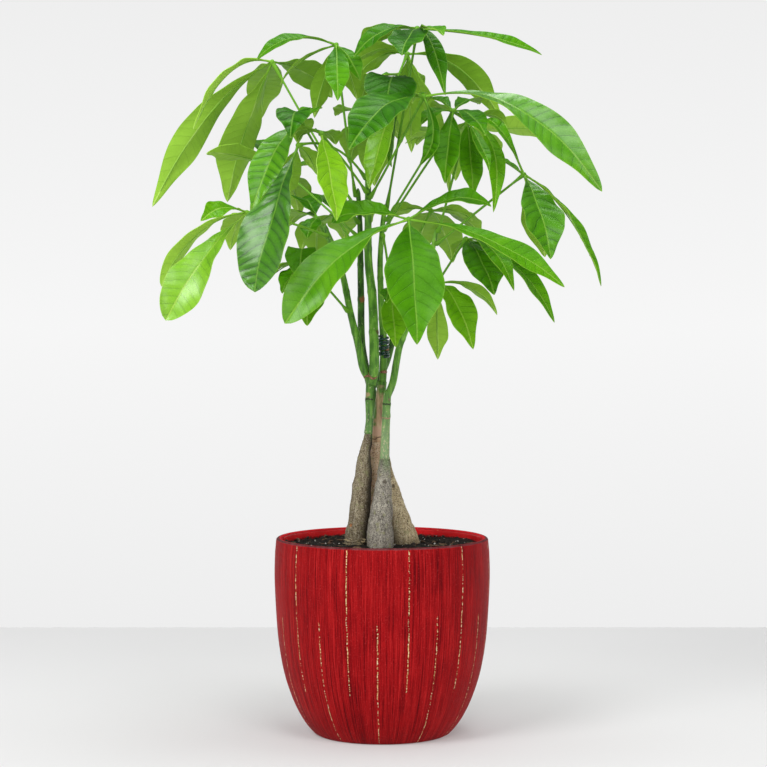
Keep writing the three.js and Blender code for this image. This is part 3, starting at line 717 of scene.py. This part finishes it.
def put(piece, spots):
    piece.data.vertices.foreach_set("co", np.asarray(spots, float).ravel())
    piece.data.update()


def mark(piece, name, kind, values):
    """Keeps values for each point of the mesh, which its material reads."""
    attribute = piece.data.attributes.new(name, kind, "POINT")
    field = "vector" if kind == "FLOAT_VECTOR" else "value"
    attribute.data.foreach_set(field, np.asarray(values, float).ravel())


def clad(piece, *materials):
    piece.data.materials.clear()
    for material in materials:
        piece.data.materials.append(material)


def smooth(piece, angle):
    select_only(piece)
    if angle >= 180:
        bpy.ops.object.shade_smooth()
    else:
        bpy.ops.object.shade_smooth_by_angle(angle=math.radians(angle))


def mount(piece, name, slot, *nodes, look=None, angle=0):
    """Finishes a piece, and fixes it to the object in the place of its solids.

    Edges that turn less than angle degrees are shaded smooth.
    """
    if look:
        clad(piece, look)
    if angle:
        smooth(piece, angle)
    piece.name = piece.data.name = name
    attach(piece, "root")
    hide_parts(*nodes)


def through(rows, step):
    """Points on a smooth line through rows of numbers in mm, one about every step mm."""
    rows = np.array(rows, float)
    line = []
    for k in range(len(rows) - 1):
        a, b, c, d = (rows[min(max(k + i, 0), len(rows) - 1)] for i in (-1, 0, 1, 2))
        count = max(2, round(float(np.linalg.norm((c - b)[:3])) / step))
        for t in np.arange(count) / count:
            line.append(0.5 * (2 * b + (c - a) * t + (2 * a - 5 * b + 4 * c - d) * t ** 2
                               + (3 * b - a - 3 * c + d) * t ** 3))
    line.append(rows[-1])
    return np.array(line)


def bar(points, radii, roundness=3):
    """A round bar along points, closed at both ends. Points and radii are in metres."""
    line = add(bpy.ops.curve.primitive_bezier_curve_add)
    line.data.splines.clear()
    spline = line.data.splines.new("POLY")
    spline.points.add(len(points) - 1)
    for knot, place, radius in zip(spline.points, points, radii):
        knot.co = (*place, 1)
        knot.radius = radius
    line.data.dimensions = "3D"
    line.data.bevel_depth = 1.0
    line.data.bevel_resolution = roundness
    line.data.use_fill_caps = True
    bpy.ops.object.convert(target="MESH")
    made = bpy.context.object
    select_only(made)
    mode("EDIT")
    bpy.ops.mesh.select_all(action="SELECT")
    bpy.ops.mesh.remove_doubles(threshold=1e-6)
    bpy.ops.mesh.normals_make_consistent(inside=False)
    mode("OBJECT")
    return made


def thrown(rows, sides):
    """A round shape as if on a wheel: a ring, drawn on and widened for each row of (radius, z)."""
    rows = [(r * MM, z * MM) for r, z in rows]
    made = add(bpy.ops.mesh.primitive_circle_add, vertices=sides, radius=rows[0][0],
               fill_type="NOTHING", location=(0, 0, rows[0][1]))
    bpy.ops.object.transform_apply(location=True, rotation=True, scale=True)
    mode("EDIT")
    bpy.ops.mesh.select_all(action="SELECT")
    bpy.ops.mesh.edge_face_add()
    bpy.ops.mesh.select_mode(type="EDGE")
    for (r0, z0), (r1, z1) in zip(rows, rows[1:]):
        bpy.ops.mesh.extrude_edges_move(TRANSFORM_OT_translate={"value": (0, 0, z1 - z0)})
        bpy.ops.transform.resize(value=(r1 / r0, r1 / r0, 1), center_override=(0, 0, z1))
    bpy.ops.mesh.edge_face_add()
    bpy.ops.mesh.select_all(action="SELECT")
    bpy.ops.mesh.normals_make_consistent(inside=False)
    bpy.ops.mesh.select_mode(type="VERT")
    mode("OBJECT")
    return made


def make_pot():
    outside = list(through([(*row, 0) for row in POT_OUTLINE], 2.5)[:, :2])
    middle = RIM_RADIUS - RIM_ROUNDING
    rim = []
    for k in range(RIM_STEPS + 1):
        turn = math.pi * k / RIM_STEPS
        back = (WALL / 2 - RIM_ROUNDING) * (1 - math.cos(turn))
        rim.append((middle - back + RIM_ROUNDING * math.cos(turn),
                    RIM_HEIGHT - RIM_ROUNDING + RIM_ROUNDING * math.sin(turn)))
    inside = [(r - WALL, z) for r, z in reversed(outside) if z > FLOOR]
    inside.append((inside[-1][0] - WALL, FLOOR))
    pot = thrown([*FOOT_RING, *outside[1:], *rim, *inside], POT_SIDES)
    clad(pot, POT_OUTSIDE, POT_INSIDE)
    top = RIM_HEIGHT * MM - 0.0012
    for face in pot.data.polygons:
        centre = face.center
        far = math.hypot(centre.x, centre.y)
        inward = face.normal.x * centre.x + face.normal.y * centre.y < -0.0005 * far
        if (inward and centre.z < top) or (face.normal.z > 0.5 and centre.z < 0.1):
            face.material_index = 1
    mount(pot, "pot_body", "pot", "pot", angle=50)


def scatter(model, count, spots, sizes, chance):
    """Copies of a model at spots, each turned and sized by chance, as one piece."""
    copies = []
    for k in range(count):
        copy = clone(model, f"{model.name}_{k}")
        x, y, z = spots(chance)
        size = chance.uniform(*sizes)
        turn = np.array(Vector((chance.uniform(-1, 1), chance.uniform(-1, 1),
                                chance.uniform(-1, 1))).to_track_quat("Z", "Y").to_matrix())
        put(copy, places(copy) @ turn.T * size * MM + np.array((x, y, z)) * MM)
        copies.append(copy)
    drop(model)
    return join(copies)


def model_crumb(name, lump, fineness=1):
    """One crumb about 1 m across, to be scaled down: a ball pushed in and out by a cloud."""
    crumb = add(bpy.ops.mesh.primitive_ico_sphere_add, subdivisions=fineness, radius=0.5)
    crumb.name = name
    roughen(crumb, name, lump, 0.7)
    return crumb


def model_chip(name, width, thick):
    """One splinter 1 m long: a bar with its end faces drawn out and narrowed."""
    chip = add(bpy.ops.mesh.primitive_cube_add, size=1)
    chip.name = name
    put(chip, places(chip) * (0.6, width, thick))
    for side in (-1, 1):
        select_only(chip)
        mode("EDIT")
        bpy.ops.mesh.select_mode(type="FACE")
        bpy.ops.mesh.select_all(action="DESELECT")
        mode("OBJECT")
        for face in chip.data.polygons:
            face.select = face.normal.x * side > 0.9
        mode("EDIT")
        bpy.ops.mesh.extrude_region_move(
            TRANSFORM_OT_translate={"value": (side * 0.2, 0, 0.15 * thick * side)})
        bpy.ops.transform.resize(value=(1, 0.35, 0.6), center_override=(side * 0.5, 0, 0))
        bpy.ops.mesh.select_mode(type="VERT")
        mode("OBJECT")
    return chip


def make_soil():
    steps = 46
    rows = [(1 + (SOIL_RADIUS - 1) * k / steps,
             SOIL_HEIGHT + 1.2 * (1 - (k / steps) ** 2)) for k in range(steps + 1)]
    rows += [(SOIL_RADIUS - 0.4, SOIL_HEIGHT - 8), (SOIL_RADIUS - 5, SOIL_HEIGHT - 14)]
    soil = thrown(rows, 150)
    roughen(soil, "soil_lumps", 0.006, 0.004, 3, direction="Z")
    roughen(soil, "soil_heaps", 0.03, 0.003, 1, direction="Z")
    mount(soil, "soil_bed", "soil", "soil", look=SOIL, angle=180)

    chance = random.Random(SEED)

    def anywhere(chance):
        far = (SOIL_RADIUS - 2.5) * math.sqrt(chance.random())
        turn = chance.uniform(0, 2 * math.pi)
        return far * math.cos(turn), far * math.sin(turn), SOIL_HEIGHT + 0.9

    crumbs = scatter(model_crumb("crumb", 0.4), 620, anywhere, (0.9, 2.6), chance)
    lumps = scatter(model_crumb("lump", 0.4, 2), 60, anywhere, (2.5, 5), chance)
    mount(join([crumbs, lumps]), "soil_crumbs", "soil", "soil", look=CRUMB, angle=60)
    specks = scatter(model_crumb("speck", 0.3), 150, anywhere, (0.5, 1.5), chance)
    mount(specks, "soil_specks", "soil", "soil", look=SPECK, angle=60)
    chips = scatter(model_chip("chip", 0.35, 0.14), 70, anywhere, (3, 8), chance)
    mount(chips, "soil_chips", "soil", "soil", look=CHIP)

    def at_feet(chance):
        x, y, reach = chance.choice([(-19.5, -5, 9.5), (-19.5, -5, 9.5), (17, 5, 11.5)])
        turn = chance.uniform(math.pi * 1.1, math.pi * 1.9)
        rise = chance.uniform(0.5, 6)
        reach += chance.uniform(0, 1.6) - rise * 0.12
        return (x + reach * math.cos(turn), y + reach * math.sin(turn), SOIL_HEIGHT + rise)

    straws = scatter(model_chip("straw", 0.14, 0.07), 60, at_feet, (1.8, 5), chance)
    mount(straws, "soil_straw", "soil", "soil", look=STRAW)


def make_trunks():
    for name, rows in TRUNKS.items():
        line = through(rows, 1.2)
        line = line[line[:, 2] > TRUNK_FOOT]
        trunk = bar(line[:, :3] * MM, line[:, 3] * MM, 11)
        roughen(trunk, f"{name}_form", 0.014, 0.0022, 1)
        roughen(trunk, f"{name}_bark", 0.0022, 0.0008)
        mount(trunk, f"{name}_bark", "bark", name, look=BARKS[name], angle=180)


def make_stems():
    for name, shoots in STEMS.items():
        parts = []
        for shoot in shoots:
            line = through(SHOOTS[shoot], 1.0)
            line[0, :3] -= (line[1, :3] - line[0, :3]) * 1.5
            swell = np.full(len(line), BASE_SWELL if shoot.endswith("base") else 0.0)
            for knuckle in KNUCKLES.get(shoot, ()):
                swell += KNUCKLE_SWELL * np.exp(-((line[:, 2] - knuckle) / KNUCKLE_REACH) ** 2)
            radii = line[:, 3] * (GIRTHS.get(shoot, 1.0) + swell)
            if not shoot.endswith("base"):
                to_tip = np.arange(len(line))[::-1]
                radii *= np.minimum(1, (to_tip + 0.4) / 6) ** 0.5
            parts.append(bar(line[:, :3] * MM, radii * MM, 5))
        stem = join(parts)
        roughen(stem, f"{name}_form", 0.008, 0.0002)
        mount(stem, f"{name}_bark", "stem", name, look=STEM_FINISHES[name], angle=180)


def make_husks():
    """Brown husks where a shoot parts from its stem, each a rough strip bent round the shoot."""
    for name, (x, y, z), radius, half, rise, thick in HUSKS:
        turns = np.radians(np.linspace(-half, half, 15))
        line = np.stack([x + radius * np.sin(turns), y - radius * np.cos(turns),
                         z + rise * (1 - np.cos(turns))], 1)
        ends = 1 - 0.6 * np.abs(turns / turns[-1]) ** 3
        husk = bar(line * MM, thick * ends * MM)
        roughen(husk, "husk_form", 0.003, 0.0012)
        mount(husk, f"{name}_husk_{round(z)}", "stem", name, look=HUSK, angle=180)


def shoot_at(name, height):
    """Where a shoot is at a height, its radius and its direction, in mm."""
    rows = np.array(SHOOTS[name], float)
    above = max(1, int(np.argmax(rows[:, 2] >= height)))
    low, high = rows[above - 1], rows[above]
    part = (height - low[2]) / (high[2] - low[2])
    spot = low + (high - low) * part
    way = (high - low)[:3]
    return spot[:3], spot[3], way / np.linalg.norm(way)


def make_tie():
    centre, radius, way = shoot_at(TIE_SHOOT, (TIE_BOTTOM + TIE_TOP) / 2)
    line = []
    steps = TIE_TURNS * TIE_STEPS
    for k in range(steps + 1):
        turn = 2 * math.pi * k / TIE_STEPS
        rise = TIE_BOTTOM + (TIE_TOP - TIE_BOTTOM) * (k / steps + 0.02 * math.sin(turn * 0.43))
        axis = centre + way * (rise - centre[2]) / way[2]
        reach = radius + TIE_WIRE * (1.15 + 0.25 * math.sin(k * 0.37))
        line.append((axis[0] + reach * math.sin(turn), axis[1] - reach * math.cos(turn), rise))
    tie = bar(np.array(line) * MM, [TIE_WIRE * MM] * len(line))
    mount(tie, "tie_wire", "tie", "tie", look=TIE_PLASTIC, angle=180)


def bend_of(start, control, end, parts):
    """Points and directions on a bent line from start to end."""
    t = np.asarray(parts, float)[:, None]
    spots = (1 - t) ** 2 * start + 2 * t * (1 - t) * control + t ** 2 * end
    ways = 2 * (1 - t) * (control - start) + 2 * t * (end - control)
    return spots, ways / np.linalg.norm(ways, axis=1, keepdims=True)


def model_blade():
    """The blade that every leaflet starts from: a flat sheet, -1 to 1 across and 0 to 1 along."""
    blade = add(bpy.ops.mesh.primitive_grid_add, x_subdivisions=BLADE_ACROSS,
                y_subdivisions=BLADE_ALONG, size=2)
    mode("EDIT")
    bpy.ops.mesh.select_all(action="SELECT")
    bpy.ops.transform.translate(value=(0, 1, 0))
    bpy.ops.transform.resize(value=(1, 0.5, 1), center_override=(0, 0, 0))
    mode("OBJECT")
    return blade


def sweep(hub, row, t):
    """The midrib of a leaflet at parts t of its length, with its sideways and upward directions."""
    dx, dy, dz, _, arch, roll, _, *swing = row
    reach = np.array((dx, dy, dz), float)
    left = np.array((-dy, dx, 0.0))
    left /= np.linalg.norm(left)
    bend = reach * BEND_AT + np.array((0, 0, arch)) + left * sum(swing)
    root = hub + bend * ROOT_OFFSET / np.linalg.norm(bend)
    middle, along = bend_of(root, hub + bend, hub + reach, t)
    side = left - along * (along @ left)[:, None]
    side /= np.linalg.norm(side, axis=1, keepdims=True)
    up = np.cross(along, side)
    turn = np.radians(roll * np.asarray(t))[:, None]
    return (middle, side * np.cos(turn) + up * np.sin(turn),
            up * np.cos(turn) - side * np.sin(turn))


def leaflet(blank, hub, row, chance, quilting, gloss=0.06, tipward=0.0, girth=1.0, fold=1.0):
    """A leaflet bent from the blank: along its midrib, folded at it, and quilted between veins."""
    width, tone = row[WIDTH] * girth, row[TONE]
    length = np.linalg.norm(row[:3])
    blade = clone(blank, "blade")
    flat = places(blade)
    x, t = flat[:, 0], flat[:, 1]
    middle, side, up = sweep(hub, row, t)
    drift = [chance.random() for _ in range(8)]

    def swing(pace, k, lag=0.0):
        return np.sin(2 * np.pi * (pace * t + drift[k]) + lag)

    grown = np.maximum(0, t - BARE_PART) / (1 - BARE_PART)
    swell = np.maximum(0, np.sin(np.pi * grown ** (WIDEST + tipward + 0.3 * drift[0]))
                       ) ** (FULLNESS - 0.2 * max(0, tipward))
    half = np.maximum(STALK_WIDTH * (1.05 - t), width * swell) / 2
    half = half * (1 + 0.035 * swing(2.1, 1, np.sign(x)) + 0.02 * swing(4.3, 2, 2 * np.sign(x)))
    if tipward < ROUND_TIP:
        near_tip = np.clip((t - TIP_START) / TIP_LENGTH, 0, 1)
        half = half * (1 - DRIP_TIP * near_tip ** 2 * (3 - 2 * near_tip))
    gap = -x * half
    rank = (t * length / VEIN_SPACING + drift[3] + 0.4 * swing(1.3, 4) + 0.16 * swing(3.7, 5)
            - (np.abs(gap) * VEIN_SLANT + gap ** 2 * VEIN_CURVE) / VEIN_SPACING)
    body = np.abs(x) * (1 - np.abs(x) ** 5) * np.minimum(1, half / 8)
    uneven = np.minimum(1, 0.2 + 1.5 * t) + 0.3 * swing(1.7, 0, 1.5 * x)
    quilt = body * quilting * uneven * (
        np.abs(np.sin(np.pi * (rank + 0.5 * (gap > 0)))) ** 0.8 - 0.5)
    ripple = np.abs(x) ** 3 * np.minimum(1, half / 6) * width * (
        0.03 * swing(1.6 + 1.2 * drift[6], 6, x) + 0.018 * swing(4.7, 7, 3 * x))
    cockle = 0.02 * width * (1 - x ** 2) * swing(1.9, 5, 2.5 * x) * np.minimum(1, half / 6)
    curl = (np.maximum(0, t - CURL_START) / (1 - CURL_START)) ** 2 * CURL * drift[2]
    lift = np.abs(x) * half * FOLD * fold + quilt + ripple + cockle - curl
    put(blade, (middle + side * gap[:, None] + up * lift[:, None]) * MM)
    mark(blade, "blade", "FLOAT_VECTOR", np.stack([gap / 10, rank, x], 1))
    mark(blade, "tone", "FLOAT", tone + 0.16 * (t - 0.5))
    mark(blade, "crease", "FLOAT", np.minimum(1, quilting / 2) * uneven)
    mark(blade, "gloss", "FLOAT", np.full(len(x), gloss))
    clad(blade, *LEAF_LOOKS)

    t = np.linspace(0, 0.93, 15)
    middle, side, up = sweep(hub, row, t)
    drop_by = np.interp(t, [0, 0.06, 0.12, 0.8, 1], [0, 0.15, 0.4, 0.3, 1.6])[:, None]
    thick = np.interp(t, [0, 0.05, 0.12, 1], [1.15, 0.95, 0.6, 0.2]) * min(1, width / 22 + 0.35)
    rib = bar((middle - up * drop_by) * MM, thick * MM, 1)
    green(rib, min(1, tone + 0.1))
    return blade, rib


def green(piece, tone):
    """Gives a stalk its own green."""
    mark(piece, "tone", "FLOAT", np.full(len(piece.data.vertices), tone))
    clad(piece, *LEAF_LOOKS)
    for face in piece.data.polygons:
        face.material_index = STALK_LOOK


def facing(thing, aim):
    """How a camera or lamp in its place is turned to face a point."""
    return (Vector(aim) - thing.location).to_track_quat("-Z", "Y").to_euler()


def make_leaves():
    blank = model_blade()
    for k, (name, (shoot, height, bow, hub, rows)) in enumerate(LEAVES.items()):
        chance = random.Random(SEED + k)
        hub = np.array(hub, float)
        blades, stalks = [], []
        for number, row in enumerate(rows):
            blade, rib = leaflet(blank, hub, row, chance,
                                 QUILTING.get(name, 0.8 - 0.4 * row[TONE]),
                                 **LEAFLETS.get((name, number), {}))
            blades.append(blade)
            stalks.append(rib)
        centre, radius, way = shoot_at(shoot, height)
        away = hub - centre
        away -= way * (away @ way)
        away /= np.linalg.norm(away)
        # The stalk starts inside the shoot's skin, and bends from its foot on.
        start = centre + away * radius * 0.7
        foot = centre + away * (radius + 1.2)
        control = foot * 0.6 + hub * 0.4 + np.array((0, 0, bow)) + away * 2
        parts = np.linspace(0, 1, 26)
        spots = np.vstack([start, bend_of(foot, control, hub, parts)[0]])
        parts = np.concatenate([[-0.02], parts])
        radii = np.interp(parts, [-0.02, 0, 0.05, 0.12, 0.9, 0.97, 1],
                          [2, 1.9, 1.5, STALK_RADIUS, STALK_RADIUS, 1.5, HUB_RADIUS * 0.9])
        stalk = bar(spots * MM, radii * MM, 2)
        knob = add(bpy.ops.mesh.primitive_uv_sphere_add, segments=14, ring_count=8,
                   radius=HUB_RADIUS * MM, location=hub * MM)
        bpy.ops.object.transform_apply(location=True, rotation=True, scale=True)
        roughen(knob, "knob_form", 0.003, 0.0009)
        for piece in (stalk, knob):
            green(piece, float(np.mean([row[TONE] for row in rows])))
        leaf = join(blades)
        modify(leaf, "SOLIDIFY", thickness=BLADE * MM, offset=0, material_offset=1,
               material_offset_rim=1, use_even_offset=False)
        leaf = join([leaf, *stalks, stalk, knob])
        mount(leaf, f"leaf_{name}_blades", "leaf", f"leaf_{name}", angle=70)
    drop(blank)


# The shoots of each stem, and the heights of the knuckles on each shoot.
STEMS = {
    "stem_left": ["left_base", "left_low", "left_high"],
    "stem_front": ["front_base", "front"],
    "stem_centre": ["centre_base", "centre"],
    "stem_back": ["back_base", "back_left", "back_right"],
}
KNUCKLES = {
    "left_base": (249.5,), "front_base": (246.5, 238), "left_high": (300, 330, 362),
    "left_low": (300, 330), "back_left": (324.5, 350), "centre": (310, 340), "front": (295, 330),
    "back_right": (300, 335), "centre_base": (247,), "back_base": (240,),
}

# How thick the bark of a shoot is beside its solid. Its swellings are shares of its radius.
GIRTHS = {"left_high": 1.18, "left_low": 1.15, "back_left": 1.1, "front": 1.14, "centre": 1.04}
BASE_SWELL = 0.1
KNUCKLE_SWELL = 0.12
KNUCKLE_REACH = 1.6
# Each husk: stem, middle, radius and half turn round it, rise of its ends, thickness.
HUSKS = [
    ("stem_left", (-6.6, -6.6, 265.6), 3.6, 78, 6, 0.75),
    ("stem_left", (-11, -5, 267.5), 3.0, 60, -3, 0.6),
    ("stem_centre", (1.2, 2.4, 270.4), 3.1, 50, -1.5, 1.15),
    ("stem_centre", (3.6, 3.6, 287), 2.4, 40, 1, 1.0),
]
# How quilted a leaf's blades are.
QUILTING = {
    "left_front": 3, "left_upper": 2.2, "front_top": 1.2, "right_low": 1.4, "right_under": 1.1,
    "front_centre": 0.45,
}
# What sets a leaflet apart: how glossy its upper side is, how much nearer its tip it is widest,
# and how wide and how folded it is beside its solid.
LEAFLETS = {
    ("upper_left", 0): dict(tipward=0.15, girth=0.92),
    ("upper_left", 2): dict(tipward=0.1, girth=1.22),
    ("crown_top", 5): dict(tipward=-0.1, girth=0.8),
    ("crown_back", 0): dict(tipward=0.1, girth=0.9), ("upper_front", 0): dict(gloss=0, fold=0.2),
    ("upper_front", 1): dict(gloss=0.6),
    ("front_top", 0): dict(gloss=0.9, tipward=0.45, girth=0.94),
    ("left_front", 0): dict(gloss=0.9, tipward=0.5, girth=1.06),
    ("left_middle", 0): dict(gloss=0.25, tipward=-0.15),
    ("left_upper", 1): dict(gloss=0.5, tipward=0.1),
    ("right_upper", 0): dict(tipward=-0.25, girth=0.88),
    ("right_inner", 0): dict(tipward=-0.35, girth=0.92), ("right_inner", 1): dict(girth=0.88),
    ("right_low", 1): dict(gloss=0.4), ("front_centre", 0): dict(gloss=0.1, tipward=-0.3),
    ("front_centre", 1): dict(gloss=0.5, tipward=0.5, girth=0.88),
    ("front_centre", 2): dict(tipward=0.1, girth=0.86),
    ("right_under", 0): dict(gloss=0.35, tipward=-0.3, girth=0.95),
    ("low_centre", 0): dict(tipward=-0.3, girth=0.88),
    ("left_low", 0): dict(gloss=1, tipward=0.75, girth=0.95),
    ("left_low", 1): dict(tipward=0.6, girth=0.95),
}

EYE_PLACE = (0, -1.8, 0.34)
EYE_AIM = (0.001, 0, 0.2616)
EYE_LENS = 113.5
# The backdrop, from below the floor's level up: part of the way and grey.
SKY_GREYS = ((0, 0.84), (0.1, 0.855), (0.3, 0.925), (0.44, 0.885), (0.54, 0.855), (1, 0.2))

LEAF_LOOKS = (leaf_top(), leaf_under(), leaf_stalk())
STALK_LOOK = 2
POT_OUTSIDE = pot_outside()
POT_INSIDE = pot_inside()
SOIL = potting_soil()
CRUMB = crumb_finish("soil_crumb", (0.004, 0.003, 0.002), (0.034, 0.025, 0.019))
SPECK = crumb_finish("pale_speck", (0.25, 0.24, 0.22), (0.6, 0.58, 0.54))
CHIP = crumb_finish("bark_chip", (0.05, 0.028, 0.016), (0.17, 0.1, 0.06))
STRAW = crumb_finish("straw", (0.2, 0.14, 0.07), (0.6, 0.5, 0.3), 0.7)
TIE_PLASTIC = tie_plastic()
HUSK = crumb_finish("husk", (0.12, 0.045, 0.025), (0.5, 0.26, 0.16), 0.75)
# The right and the centre trunk's colours are partly their own bark and partly painted light, made
# lighter where the other trunks shade them. The 1 and -1 after the scars put painted shade on the
# side that faces another trunk.
BARKS = {
    "trunk_left": bark("bark_left", (0.07, 0.05, 0.03), (0.2, 0.16, 0.1), (0.36, 0.31, 0.2),
                       0.226, [(-23.5, -11, 157, 1.7, 0.42, 0.16, 0.05),
                               (-19, -11, 203, 1.6, 0.04, 0.02, 0.014)], 1, 1.4),
    "trunk_front": bark("bark_front", (0.1, 0.086, 0.07), (0.25, 0.228, 0.19),
                        (0.43, 0.395, 0.325), 0.2, [(2, -19.5, 190, 2.2, 0.07, 0.055, 0.04)]),
    "trunk_right": bark("bark_right", (0.15, 0.105, 0.055), (0.43, 0.34, 0.2), (0.68, 0.58, 0.38),
                        0.205, [(8.5, 4.2, 184.6, 1.8, 0.06, 0.045, 0.03),
                                (21, 0.5, 166, 2.2, 0.07, 0.05, 0.035)], -1),
    "trunk_centre": bark("bark_centre", (0.38, 0.24, 0.14), (0.64, 0.44, 0.28),
                         (0.8, 0.64, 0.45), 0.3),
}
STEM_FINISHES = {
    "stem_left": green_stem(
        "stem_left_skin",
        [(-11, -6, 253.5, 2.6, 0.4, 0.28, 0.15), (-3.6, -10, 300, 2.6, 0.1, 0.05, 0.025)],
        [(249.6, 0.9, 0.02, 0.016, 0.01)], bloom=0.12, dark=0.03),
    "stem_front": green_stem(
        "stem_front_skin", [(5.6, -9, 250, 1.6, 0.2, 0.16, 0.08)],
        [(246.8, 0.8, 0.02, 0.02, 0.01), (236.6, 0.7, 0.4, 0.22, 0.15)], bloom=0.42),
    "stem_centre": green_stem(
        "stem_centre_skin", [(-4, 1.4, 226, 5, 0.66, 0.4, 0.28)],
        [(221, 0.6, 0.12, 0.06, 0.035)], brown_below=0.252, brown_from=-0.0046),
    # The back stem is darker, partly as painted shade.
    "stem_back": green_stem(
        "stem_back_skin", [(-14.6, 7.3, 324.3, 3, 0.28, 0.08, 0.03)], dark=0.17),
}

scene = bpy.context.scene
eye = bpy.data.cameras.new("camera")
eye.sensor_width = 36
eye.lens = EYE_LENS
camera = bpy.data.objects.new("camera", eye)
camera.location = EYE_PLACE
camera.rotation_euler = facing(camera, EYE_AIM)
scene.collection.objects.link(camera)
scene.camera = camera
scene.view_settings.view_transform = "Standard"

world = bpy.data.worlds.new("studio")
world.use_nodes = True
scene.world = world
sky = Nodes(world.node_tree)
rise = sky.parts(sky.node("TexCoord", out="Generated"))[2]
greys = sky.colours(sky.node("MapRange", {}, [rise, -0.2, 0.4, 0.0, 1.0]),
                    *((part, grey, grey, grey) for part, grey in SKY_GREYS))
sky.tree.links.new(greys.socket, sky.tree.nodes["Background"].inputs["Color"])


def panel(name, place, aim, size, power):
    """A soft light: a square panel at a place that faces a point."""
    light = bpy.data.lights.new(name, "AREA")
    light.energy = power
    light.size = size
    lamp = bpy.data.objects.new(name, light)
    lamp.location = place
    lamp.rotation_euler = facing(lamp, aim)
    scene.collection.objects.link(lamp)


panel("key", (-1.2, -1.4, 1.7), (0, 0, 0.25), 1.0, 30)
panel("front", (0.4, -1.5, 1.9), (0, 0, 0.25), 0.9, 14)
panel("fill", (1.3, -1.6, 0.9), (0, 0, 0.25), 1.2, 8)
panel("top", (0.1, 0.1, 1.7), (0, 0, 0.3), 0.8, 13)

floor = add(bpy.ops.mesh.primitive_plane_add, size=2)
floor.name = "floor"
put(floor, places(floor) * (3, 2, 1) + (0, -1.456, 0))
clad(floor, paper_floor("floor_paper", 0.55, 0.58, -0.2, 0.54, 0.22))

make_pot()
make_soil()
make_trunks()
make_stems()
make_husks()
make_tie()
make_leaves()
